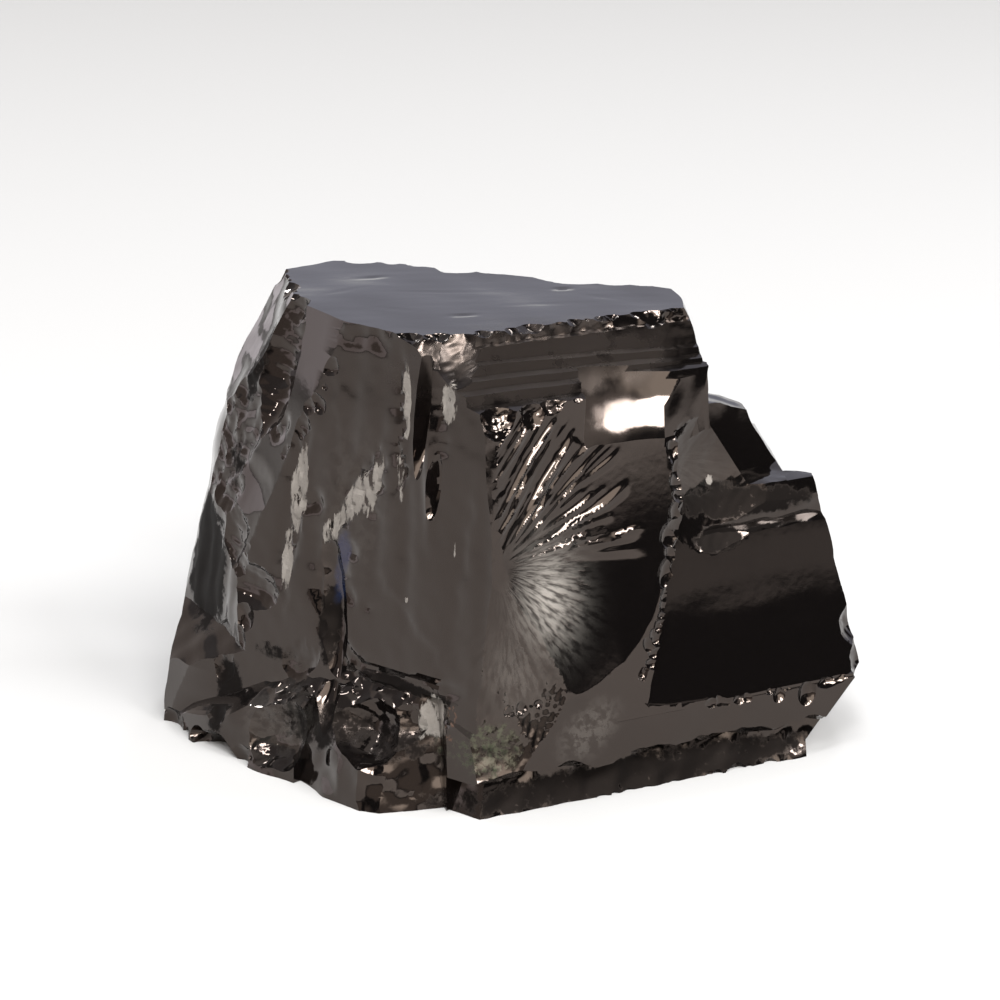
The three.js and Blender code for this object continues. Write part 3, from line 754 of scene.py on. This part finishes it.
def rims(top, crease):
    """Rims that lost flakes: two ends, azimuth and tilt of the direction a rim points, how many
    flakes, the range of their lengths, and the number that seeds them."""
    return [
        ((-15.5, 0.6, top), (-9, -5.2, top), -40, 45, 4, (1.2, 2.6), 101),
        ((-9, -5.3, top - 0.2), (-2.9, -5.4, top - 0.2), -5, 45, 4, (1, 2.2), 102),
        ((-2.9, -5.3, top), (13.2, 3.8, top), 30, 50, 8, (1, 2.6), 103),
        ((-18.3, 17.5, top), (-15.5, 0.6, top), -82, 55, 5, (1.4, 4), 104),
        ((-14, 21, top), (12.4, 10.7, top), 158, 50, 7, (1.2, 5), 105),
        ((-1.3, -11, 31.5), (11.5, -3.4, 31), 30, 45, 7, (0.9, 2.2), 106),
        ((-1.3, -11.6, 29), (-1.6, -13.4, 18), -5, 5, 5, (0.9, 2), 107),
        (on_right(18.1, 30), on_right(18.4, 20.7), 75, 5, 5, (0.8, 1.8), 108),
        (on_right(18.2, 20), on_right(16.6, 15.5), 60, 0, 3, (0.8, 1.6), 109),
        (on_right(5, FOOT_Z, -1), on_right(30, FOOT_Z, -1), 28, -10, 8, (0.8, 1.6), 110),
        (on_right(18, crease, -1.1), on_right(32, crease, -1.1), 30, 5, 5, (0.8, 1.6), 111),
        (on_right(24, 21.8, 1.3), on_right(31, 21.4, 1.3), 30, 50, 4, (0.9, 2), 112),
        (on_left(26.2, 8), on_left(26.2, 18), -52, 3, 5, (1.2, 3), 113),
        (on_left(24, 22), on_left(17, 32), -52, 6, 5, (1.2, 3), 114),
        ((-22.4, 9, 29), (-27.8, 8.3, 4), -78, 12, 8, (1.4, 4.5), 115),
        ((24.4, 3.2, 21), (26.9, 3.2, 7), 62, 12, 6, (1.2, 3), 116),
        ((-14.8, 22, 31), (-16, 24, 4), -165, 3, 6, (1.6, 5), 117),
        ((-2, 20.3, 27.3), (16.5, 17.7, 23), 165, 35, 6, (1.2, 3.4), 118),
        ((-28, 9, 0.8), (-19.4, -3, 0.8), -55, -30, 3, (1.2, 2.8), 119),
        (on_right(4, 0.2, 0.7), on_right(26, 0.2, 0.7), 28, -50, 3, (0.8, 1.8), 120),
        ((16, 15.5, 21), (17, 15.8, 4), 155, 5, 4, (1.6, 4), 121),
    ]


def flakes_on(start, end, azimuth, tilt, count, lengths, seed, wide=1.0):
    """Shells struck off along a rim. Each is a small dish that leans at random and bites a small
    share of its own length below the rim, so it opens just where the rim ends."""
    numbers = stream(seed)
    start, end = np.asarray(start, float), np.asarray(end, float)
    rim = (end - start) / np.linalg.norm(end - start)
    outward = axes_of(azimuth, tilt)[2]
    sideways = np.cross(outward, rim)
    sideways /= np.linalg.norm(sideways)
    small, large = lengths
    cuts = []
    for k in range(count):
        long = small + (large - small) * next(numbers) ** 2
        bite = 0.1 + 0.12 * long * next(numbers)
        lean = outward + rim * 0.9 * (next(numbers) - 0.5)
        lean = lean + sideways * 0.9 * (next(numbers) - 0.5)
        lean /= np.linalg.norm(lean)
        broad = long * (0.7 + next(numbers)) * wide
        place = start + (end - start) * (k + 0.1 + 0.8 * next(numbers)) / count
        way = (math.degrees(math.atan2(lean[0], -lean[1])),
               math.degrees(math.asin(np.clip(lean[2], -1, 1))))
        level, rising, _ = axes_of(*way)
        half = (0.7 * long, 0.7 * broad)
        cuts.append([outside(
            place - outward * (bite + 0.04 * long), *way, cup(half, bite + 0.1 * long, seed * 17 + k),
            swell(0.03 * long ** 0.5, 0.9, seed * 13 + k),
            roll=math.degrees(math.atan2(rim @ rising, rim @ level)),
            span=(4 * half[0], 4 * half[1]), deep=4, step=max(0.14, long / 11))])
    return cuts


# Broken crests: the ridge right of the scoop, then the rib between the shells on the near corner.
CRESTS = [
    (on_right(18.0, 28, 0.5), on_right(18.3, 20.8, -0.1), 40, 26, 20, (0.35, 1.1), 701),
    (on_right(18.0, 20.5, -0.15), on_right(16.4, 14.5, -0.35), 32, 28, 22, (0.5, 1.5), 702),
    (on_right(16.4, 14.5, -0.35), on_right(13.4, 8.9, -0.8), 36, 28, 14, (0.3, 0.9), 703),
    (on_right(1.9, 8.0, 0.4), on_right(5.6, 8.9, -0.6), 10, 35, 7, (0.25, 0.6), 706),
]


def flake_breaks(top, crease):
    """The larger flakes along the rims."""
    breaks = []
    for row in rims(top, crease):
        breaks += flakes_on(*row)
    return breaks


def splinter_breaks(top, crease):
    """More and smaller flakes on the same rims, and on the ridge and the corner between the hollows."""
    breaks = []
    for row in CRESTS:
        breaks += flakes_on(*row)
    for start, end, azimuth, tilt, _, _, seed in rims(top, crease):
        count = int(np.linalg.norm(np.subtract(end, start)) / 1.3)
        breaks += flakes_on(start, end, azimuth, tilt, count, (0.35, 1.3), seed + 500, wide=0.8)
    return breaks


def break_stone(sizes):
    """The rough block with every break struck off, biggest first."""
    top, ledge, crease = (round(value / MM, 4) for value in (sizes.top, sizes.ledge, sizes.crease))
    scoop, facet = (round(value / MM, 4) for value in (sizes.scoop, sizes.facet))
    low, high = np.array(ROUGH_BLOCK, float).T
    corners = np.array([[x, y, z] for x in (0, 1) for y in (0, 1) for z in (0, 1)]) * (high - low) + low
    sides = [(0, 1, 3, 2), (4, 6, 7, 5), (0, 4, 5, 1), (2, 3, 7, 6), (0, 2, 6, 4), (1, 5, 7, 3)]
    stone = mesh_piece("shungite_stone", corners, sides)
    bpy.context.scene.collection.objects.link(stone)
    for breaks in (outline_breaks(top), left_front_breaks(facet), right_front_breaks(crease, facet),
                   shelf_breaks(ledge, top), stair_breaks(top), notch_breaks(),
                   hollow_breaks(scoop, sizes.ribs), back_breaks(), flake_breaks(top, crease),
                   splinter_breaks(top, crease)):
        strike(stone, breaks)
    stone.data.transform(Matrix.Translation(Vector(CENTRE_SHIFT * MM)))
    return stone


# ---- where dust, frost and stains lie ------------------------------------------------------------
# Patches on the two fronts, by cover: middle, half sizes, roll in degrees and strength. A middle is
# sideways of the near corner, where negative means the left face, and up. Veil is thin powder that
# is partly painted light: it lightens chosen facets as a brighter reflection would. Film is a thin
# blue tarnish. The dull patches that mirror next to nothing are painted shade: they darken chosen
# places as a dark reflection would, and one of them dims the glint of a chip on the ledge front.
COVERS = {
    "dust": [
        ((-20.6, 21.8), (1.0, 3.8), -6, 1.3), ((-21.6, 16), (0.7, 3.2), 0, 1.2),
        ((-14.8, 22.2), (1.1, 2.8), -30, 1.25), ((-12.9, 23.6), (0.6, 3.0), -14, 1.2),
        ((-16.9, 19.6), (0.9, 1.8), -35, 1.2), ((-10.0, 30.5), (0.5, 3.2), 4, 1.3),
        ((-10.3, 24.8), (0.4, 2.6), 8, 1.1), ((-5.9, 31), (0.9, 1.6), 0, 1.3),
        ((-6.3, 7), (1.3, 2.0), -12, 1.3), ((-4.7, 20.3), (0.25, 0.9), 0, 0.9),
        ((-9.2, 15.5), (0.35, 0.35), 0, 1.0), ((22.7, 22.7), (0.4, 0.5), 0, 1.2),
    ],
    # Thin powder, partly painted light: it makes chosen facets lighter as a brighter reflection would.
    "veil_and_painted_light": [
        ((8.6, 5.9), (2.3, 1.5), 35, 0.7), ((-20, 4), (3.0, 2.2), 10, 0.5),
        ((-15, 22), (3.5, 5.0), 0, 0.2),
    ],
    "frost": [
        ((5.8, 17.0), (2.2, 3.2), 15, 0.7), ((13.4, 29), (3.4, 1.8), 0, 0.6),
        ((8, 33.5), (12, 2.6), 0, 1.3),
    ],
    # Painted shade: matt patches that turn the mirroring down where the stone should look dark.
    "painted_shade": [
        ((-33.2, 13.4), (3.5, 5.2), 0, 1.6), ((-27, 4.2), (1.6, 3.0), 12, 1.2),
        ((-17.2, 11.8), (0.8, 3.4), 5, 1.2), ((-9, 8.7), (5.4, 0.5), -2, 1.3),
        ((-16, 4.4), (5.5, 2.0), 8, 1.0), ((-8.5, 4.8), (3.5, 1.8), 0, 0.9),
        ((-28.5, 30), (1.3, 4.0), -8, 1.0), ((-29.5, 22), (1.6, 2.4), 0, 0.9),
        ((-22.5, 8.6), (2.6, 0.9), 0, 0.9), ((1.2, 5.0), (2.4, 1.6), 30, 0.8),
        ((14, 1.2), (17, 1.5), 0, 1.25), ((23, 22), (3.0, 0.7), 0, 0.9),
        ((25, 20.7), (6.5, 1.2), -3, 1.3), ((22.4, 18.2), (2.4, 1.0), 0, 1.3),
    ],
    "rust": [((-4.2, 7), (1.0, 2.2), 0, 1.0), ((25, 21), (4, 0.8), 0, 0.5)],
    "film": [((-16.2, 16.8), (0.9, 3.4), -14, 1.15)],
    "moss": [((1, 5.5), (2.8, 2.6), 30, 1.0)],
}
# Hackles, fine lines that spread from a focus on the right face, and a painted highlight over
# them: the focus, then the middle from there, half sizes and strength of the frosted place, whose
# pale colour is a painted gleam that stands in for light caught by the lines.
HACKLES_AND_GLEAM = [
    ((1.5, 19.4), (4.6, -2.8), (2.3, 3.2), 1.0), ((2.2, 17.6), (0.9, -6.4), (2.3, 3.2), 0.13),
    ((17.4, 25.2), (4.0, -1.5), (3.6, 1.8), 0.06),
]


def cover(points, patches):
    """How much each point lies in any of the patches: the strength in the middle, 0 past the rim. A
    patch is an ellipse on its face, and counts for points near that face only."""
    total = np.zeros(len(points))
    for (sideways, up), half, roll, strength in patches:
        across, along, normal = axes_of(*(LEFT_FACE if sideways < 0 else RIGHT_FACE))
        offset = points - NEAR_CORNER
        du, dv, depth = offset @ across - sideways, offset @ along - up, offset @ normal
        angle = math.radians(roll)
        a = (du * math.cos(angle) + dv * math.sin(angle)) / half[0]
        b = (-du * math.sin(angle) + dv * math.cos(angle)) / half[1]
        inside = np.clip(1.6 - np.hypot(a, b), 0, 1) * (np.abs(depth) < PATCH_DEPTH)
        total = np.maximum(total, inside * strength)
    return total


def stain(stone):
    """Writes each cover to the mesh as an attribute, and the polar position round the focus of the
    strongest hackle: arc length, distance, and strength, which falls off like a bell curve from the
    middle of each and sets both the hackles' relief and the painted gleam over them."""
    mesh = stone.data
    points = np.empty(len(mesh.vertices) * 3)
    mesh.vertices.foreach_get("co", points)
    points = points.reshape(-1, 3) / MM - CENTRE_SHIFT
    for name, patches in COVERS.items():
        layer = mesh.attributes.new(name, "FLOAT", "POINT")
        layer.data.foreach_set("value", cover(points, patches).astype(np.float32))
    across, along, normal = axes_of(*RIGHT_FACE)
    offset = points - NEAR_CORNER
    rays = np.zeros((len(points), 3))
    for focus, middle, half, strength in HACKLES_AND_GLEAM:
        right, up = offset @ across - focus[0], offset @ along - focus[1]
        away = np.hypot(right, up)
        bell = np.exp(-((right - middle[0]) / half[0]) ** 2 - ((up - middle[1]) / half[1]) ** 2)
        bell = strength * bell * smooth(1.0, 2.5, away) * (np.abs(offset @ normal) < HACKLE_DEPTH)
        stronger = bell > rays[:, 2]
        polar = np.stack([ARC_RADIUS * np.arctan2(up, right), away, bell], axis=1)
        rays[stronger] = polar[stronger]
    layer = mesh.attributes.new("rays", "FLOAT_VECTOR", "POINT")
    layer.data.foreach_set("vector", rays.astype(np.float32).ravel())


# ---- materials -----------------------------------------------------------------------------------
def linear(text):
    """An sRGB hex colour as linear red, green, blue and alpha."""
    channels = [int(text[k:k + 2], 16) / 255 for k in (1, 3, 5)]
    return [c / 12.92 if c <= 0.04045 else ((c + 0.055) / 1.055) ** 2.4 for c in channels] + [1.0]


def add(tree, kind, inputs=None, **settings):
    """Adds a node: settings are its own properties, inputs the values or links of its sockets."""
    node = tree.nodes.new(kind)
    for name, value in settings.items():
        setattr(node, name, value)
    for key, value in (inputs or {}).items():
        if isinstance(value, bpy.types.NodeSocket):
            tree.links.new(value, node.inputs[key])
        else:
            node.inputs[key].default_value = value
    return node


# Noises of the glass: size of a lump in millimetres, detail and roughness. Feathers are stretched
# upwards.
GRAINS = {
    "crumbs": (0.5, 5.0, 0.7), "clouds": (2.4, 4.0, 0.6), "feathers": (0.45, 5.0, 0.65),
    "flour": (0.9, 6.0, 0.7), "specks": (0.7, 4.0, 0.6), "smoke": (1.2, 6.0, 0.7),
    "breath": (5.0, 5.0, 0.65), "pits": (1.7, 2.0, 0.6),
}
FEATHER_SCALE = (1.0, 1.0, 0.22)
# Covers broken up by a noise: the noise, and the products of the two where a cover starts and is full.
EDGES = {
    "dust": ("feathers", 0.44, 0.54), "frost": ("clouds", 0.2, 0.6), "rust": ("specks", 0.5, 0.62),
    "film": ("clouds", 0.3, 0.55), "moss": ("crumbs", 0.4, 0.62), "painted_shade": ("smoke", 0.34, 0.5),
}
HACKLE_SCALE = (4.0, 0.7, 0.0)  # hackles per millimetre of arc, and how they change outwards
DARK_DUST = 0.4  # the darkest dust against the palest


def carbon_glass(sizes):
    """Shungite, freshly broken: amorphous carbon with a glassy, nearly metallic lustre. The body is
    black, so what the eye sees is mostly reflection: mirror-like facets, frosted ribs and dull dust.
    Some of it is painted light: a pale painted gleam over the scoop's hackles, thin powder that paints
    chosen facets lighter, and matt patches of painted shade. IOR and roughness are those of a glossy
    glass, with a faint warm tint in what it mirrors."""
    material = bpy.data.materials.new("shungite_carbon_glass")
    material.use_nodes = True
    tree = material.node_tree
    tree.nodes.clear()
    place = add(tree, "ShaderNodeTexCoord").outputs["Object"]
    upright = add(tree, "ShaderNodeMapping", {"Vector": place, "Scale": FEATHER_SCALE}).outputs["Vector"]
    grain = {}
    for name, (size, detail, roughness) in GRAINS.items():
        grain[name] = add(tree, "ShaderNodeTexNoise", {
            "Vector": upright if name == "feathers" else place, "Scale": 1 / (size * MM),
            "Detail": detail, "Roughness": roughness}).outputs["Fac"]
    cover = {}
    for name, (noise, low, high) in EDGES.items():
        painted = add(tree, "ShaderNodeAttribute", attribute_name=name).outputs["Fac"]
        broken = add(tree, "ShaderNodeMath", {0: painted, 1: grain[noise]}, operation="MULTIPLY")
        cover[name] = add(tree, "ShaderNodeMapRange", {
            "Value": broken.outputs[0], "From Min": low, "From Max": high},
            interpolation_type="SMOOTHSTEP").outputs["Result"]

    # Hackles are noise over arc length and distance, so they run outwards from their focus.
    rays = add(tree, "ShaderNodeAttribute", attribute_name="rays").outputs["Vector"]
    fanned = add(tree, "ShaderNodeVectorMath", {0: rays, 1: HACKLE_SCALE}, operation="MULTIPLY").outputs[0]
    lines = add(tree, "ShaderNodeTexNoise", {"Vector": fanned, "Scale": 1.0, "Detail": 3.0}).outputs["Fac"]
    near = add(tree, "ShaderNodeSeparateXYZ", {0: rays}).outputs["Z"]
    veil_and_painted_light = add(tree, "ShaderNodeAttribute", attribute_name="veil_and_painted_light").outputs["Fac"]
    # The hackle cover mixes in a pale painted gleam, and the powder cover is thin dust that also paints
    # chosen facets lighter.
    for name, painted, noise, edge, amount in (
            ("hackle_gleam", near, lines, (0.34, 0.62), (0.15, 0.92)),
            ("powder_and_painted_light", veil_and_painted_light, grain["flour"], (0.44, 0.56), (0.02, 0.16)),
            ("haze", 1.0, grain["breath"], (0.45, 0.75), (0.0, 1.0))):
        share = add(tree, "ShaderNodeMapRange", {
            "Value": noise, "From Min": edge[0], "From Max": edge[1], "To Min": amount[0],
            "To Max": amount[1]}, interpolation_type="SMOOTHSTEP").outputs["Result"]
        cover[name] = add(tree, "ShaderNodeMath", {0: painted, 1: share}, operation="MULTIPLY").outputs[0]

    dust = linear(sizes.dust)
    shade = [channel * DARK_DUST for channel in dust[:3]] + [1.0]
    patchy = add(tree, "ShaderNodeMix", {0: grain["clouds"], 6: dust, 7: shade}, data_type="RGBA")
    colour = linear(sizes.glass)
    # The dust colour paints the real dust and powder, and also the painted gleam over the hackles.
    for name, hue in (("film", linear(sizes.film)), ("moss", linear(sizes.moss)),
                      ("rust", linear(sizes.rust)), ("powder_and_painted_light", dust), ("hackle_gleam", dust),
                      ("dust", patchy.outputs[2])):
        painted = add(tree, "ShaderNodeMix", {0: cover[name], 6: colour, 7: hue}, data_type="RGBA")
        colour = painted.outputs[2]
    stained = add(tree, "ShaderNodeMath", {0: cover["moss"], 1: cover["rust"]}, operation="MAXIMUM")
    shine = 0.06
    for share, roughness in ((cover["haze"], 0.11), (cover["frost"], 0.3), (stained.outputs[0], 0.5),
                             (cover["painted_shade"], 0.6), (cover["dust"], 0.85)):
        shine = add(tree, "ShaderNodeMix", {0: share, 2: shine, 3: roughness}).outputs[0]
    # Painted shade: the matt patches turn the mirroring down, so chosen places come out dark as a dark
    # reflection would.
    mirrored = add(tree, "ShaderNodeMix", {0: cover["painted_shade"], 2: 0.5, 3: 0.08}).outputs[0]

    uneven = add(tree, "ShaderNodeMath", {0: grain["crumbs"], 1: 0.25, 2: grain["pits"]},
                 operation="MULTIPLY_ADD")
    combed = add(tree, "ShaderNodeMath", {0: lines, 1: near}, operation="MULTIPLY")
    crusted = add(tree, "ShaderNodeMath", {0: cover["dust"], 1: grain["crumbs"]}, operation="MULTIPLY")
    relief = {}
    for height, strength, depth in ((uneven, 0.25, 0.03), (combed, 1.0, 0.12), (crusted, 0.8, 0.15)):
        bump = add(tree, "ShaderNodeBump", {
            "Height": height.outputs[0], "Strength": strength, "Distance": depth * MM, **relief})
        relief = {"Normal": bump.outputs["Normal"]}
    surface = add(tree, "ShaderNodeBsdfPrincipled", {
        "Base Color": colour, "Roughness": shine, "IOR": 1.57, "Metallic": 0.0,
        "Specular Tint": linear("#ffe9dc"), "Specular IOR Level": mirrored, **relief})
    add(tree, "ShaderNodeOutputMaterial", {"Surface": surface.outputs["BSDF"]})
    return material


def pale_board(stage):
    """Matt white board: the even, pale ground of a product table."""
    material = bpy.data.materials.new("matt_white_board")
    material.use_nodes = True
    shader = material.node_tree.nodes["Principled BSDF"]
    shader.inputs["Base Color"].default_value = linear(stage.floor)
    shader.inputs["Roughness"].default_value = 0.7
    return material


# ---- stage ---------------------------------------------------------------------------------------
# Panels of the surrounding room: azimuths and elevations of their sides, softness in degrees, and
# radiance per colour. Azimuth 0 is behind the camera and 90 at the right, and the panels at the back
# have a second row, because the azimuth jumps from 180 to -180 there.
ROOM_DARK = (0.018, 0.017, 0.016)
ROOM_PANELS = [
    ((-165, -40), (24, 60), 10, (0.30, 0.29, 0.30)), ((-165, -40), (60, 90), 10, (0.8, 0.8, 0.8)),
    ((125, 195), (-20, 9), 5, (0.90, 0.90, 0.92)), ((-195, -165), (-20, 9), 5, (0.90, 0.90, 0.92)),
    ((125, 195), (9, 50), 5, (0.50, 0.51, 0.60)), ((-195, -165), (9, 50), 5, (0.50, 0.51, 0.60)),
    ((54, 72), (5, 10), 1.2, (0.55, 0.53, 0.52)), ((-14, 49), (15, 50), 6, (3.6, 3.4, 3.1)),
    ((49, 95), (27, 50), 6, (1.0, 0.95, 0.9)), ((-165, -60), (-4, 7), 4, (0.82, 0.80, 0.88)),
    ((-32, 36), (2, 27), 4, (0.6, 0.53, 0.48)), ((-165, -44), (-2, 24), 6, (0.5, 0.44, 0.41)),
]
# Lamps: azimuth, elevation, width and height in metres, and radiance.
LAMPS = [
    (50, 42, 0.36, 0.26, 26), (18, 36, 0.3, 0.24, 26), (-6, 42, 0.24, 0.2, 26),
    (-52, 48, 0.12, 0.12, 24), (-12, 60, 0.28, 0.2, 28), (24, 72, 0.14, 0.14, 16),
    (82, 38, 0.22, 0.18, 26), (150, 58, 0.14, 0.14, 22), (-110, 55, 0.14, 0.14, 22),
    (-150, 35, 0.1, 0.1, 22), (-78, 24, 0.06, 0.06, 30),
]
LAMP_DISTANCE = 1.0
MIDDLE = np.array([0.0, 0.0, 18.0]) * MM  # middle of the stone, at which the lamps point
SENSOR = 36  # millimetres
AIM_RIGHT, AIM_UP = -0.011, 0.039  # the camera's aim beside the middle, in widths of the view


def room():
    """The surroundings that the facets mirror: pale walls at the left and the back, a bright bank
    over the camera, dim panels at its sides, a strip low at the right, and dark elsewhere. A panel is
    its radiance times four soft steps over azimuth and elevation, and the panels add up."""
    world = bpy.data.worlds.new("studio_room")
    bpy.context.scene.world = world
    world.use_nodes = True
    tree = world.node_tree
    tree.nodes.clear()
    towards = add(tree, "ShaderNodeTexCoord").outputs["Generated"]
    parts = add(tree, "ShaderNodeSeparateXYZ", {0: towards}).outputs
    forward = add(tree, "ShaderNodeMath", {0: parts["Y"], 1: -1.0}, operation="MULTIPLY").outputs[0]
    azimuth = add(tree, "ShaderNodeMath", {0: parts["X"], 1: forward}, operation="ARCTAN2").outputs[0]
    elevation = add(tree, "ShaderNodeMath", {0: parts["Z"]}, operation="ARCSINE").outputs[0]
    light = ROOM_DARK
    for (left, right), (low, high), soft, panel in ROOM_PANELS:
        for angle, side, before, past in ((azimuth, left, 0.0, 1.0), (azimuth, right, 1.0, 0.0),
                                          (elevation, low, 0.0, 1.0), (elevation, high, 1.0, 0.0)):
            step = add(tree, "ShaderNodeMapRange", {
                "Value": angle, "From Min": math.radians(side - soft / 2),
                "From Max": math.radians(side + soft / 2), "To Min": before, "To Max": past},
                interpolation_type="SMOOTHSTEP").outputs["Result"]
            panel = add(tree, "ShaderNodeVectorMath", {0: panel, 1: step}, operation="MULTIPLY").outputs[0]
        light = add(tree, "ShaderNodeVectorMath", {0: light, 1: panel}, operation="ADD").outputs[0]
    background = add(tree, "ShaderNodeBackground", {"Color": light, "Strength": 1.0})
    add(tree, "ShaderNodeOutputWorld", {"Surface": background.outputs[0]})


def stand(holder, place, towards):
    """Puts a lamp or camera at a place so that it looks along the given direction."""
    bpy.context.scene.collection.objects.link(holder)
    holder.location = place
    holder.rotation_mode = "QUATERNION"
    holder.rotation_quaternion = Vector(towards).to_track_quat("-Z", "Y")


def lamp(name, azimuth, elevation, wide, high, radiance):
    """An oval area lamp that faces the stone."""
    light = bpy.data.lights.new(name, "AREA")
    light.shape = "ELLIPSE"
    light.size, light.size_y = wide, high
    light.energy = radiance * math.pi * wide * high
    away = axes_of(azimuth, elevation)[2]
    stand(bpy.data.objects.new(name, light), MIDDLE + away * LAMP_DISTANCE, -away)


def camera(stage):
    """Looks down at the stone from the front, aimed a little off its middle as framed."""
    right, up, back = axes_of(0, math.degrees(stage.elevation))
    middle = MIDDLE + CENTRE_SHIFT * MM
    width = stage.distance * SENSOR / stage.lens
    aim = (right * AIM_RIGHT + up * AIM_UP) * width
    data = bpy.data.cameras.new("camera")
    data.lens = stage.lens
    data.sensor_width = SENSOR
    data.clip_start = 0.01
    holder = bpy.data.objects.new("camera", data)
    stand(holder, middle + back * stage.distance, aim - back * stage.distance)
    bpy.context.scene.camera = holder


# ---- operators -----------------------------------------------------------------------------------
class SHUNGITE_OT_stone(bpy.types.Operator):
    """Break the stone out of its rough block and finish it"""
    bl_idname = "shungite.stone"
    bl_label = "Stone"

    def execute(self, context):
        sizes = context.scene.shungite_stone
        stone = break_stone(sizes)
        stain(stone)
        stone.data.materials.clear()
        stone.data.materials.append(carbon_glass(sizes))
        stone.data.shade_smooth()
        stone.data.set_sharp_from_angle(angle=SHARP_ANGLE)
        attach(stone, "root")
        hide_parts(NODE)
        return {"FINISHED"}


class SHUNGITE_OT_stage(bpy.types.Operator):
    """Set up the pale floor, the studio light and the camera"""
    bl_idname = "shungite.stage"
    bl_label = "Stage"

    def execute(self, context):
        stage = context.scene.shungite_stage
        half = stage.floor_side / 2
        mesh = bpy.data.meshes.new("floor")
        mesh.from_pydata([(-half, -half, 0), (half, -half, 0), (half, half, 0), (-half, half, 0)], [],
                         [(0, 1, 2, 3)])
        floor = bpy.data.objects.new("floor", mesh)
        mesh.materials.append(pale_board(stage))
        context.scene.collection.objects.link(floor)
        room()
        for k, row in enumerate(LAMPS):
            lamp(f"lamp_{k}", *row)
        camera(stage)
        context.scene.view_settings.view_transform = "Standard"
        return {"FINISHED"}


class SHUNGITE_PT_panel(bpy.types.Panel):
    """Lists the sizes, the colours and the operators"""
    bl_label = "Shungite"
    bl_idname = "SHUNGITE_PT_panel"
    bl_space_type = "VIEW_3D"
    bl_region_type = "UI"
    bl_category = "Shungite"

    def draw(self, context):
        for settings in (context.scene.shungite_stone, context.scene.shungite_stage):
            for name in settings.bl_rna.properties.keys():
                if name not in {"rna_type", "name"}:
                    self.layout.prop(settings, name)
        self.layout.operator(SHUNGITE_OT_stone.bl_idname)
        self.layout.operator(SHUNGITE_OT_stage.bl_idname)


CLASSES = (ShungiteStone, ShungiteStage, SHUNGITE_OT_stone, SHUNGITE_OT_stage, SHUNGITE_PT_panel)


def register():
    """Makes the classes known, and puts the settings on the scene."""
    for cls in CLASSES:
        bpy.utils.register_class(cls)
    bpy.types.Scene.shungite_stone = bpy.props.PointerProperty(type=ShungiteStone)
    bpy.types.Scene.shungite_stage = bpy.props.PointerProperty(type=ShungiteStage)


def unregister():
    """Undoes register, in reverse order."""
    del bpy.types.Scene.shungite_stage
    del bpy.types.Scene.shungite_stone
    for cls in reversed(CLASSES):
        bpy.utils.unregister_class(cls)


def main():
    """Makes the stone and its stage."""
    register()
    bpy.ops.shungite.stone()
    bpy.ops.shungite.stage()


if __name__ == "__main__":
    main()
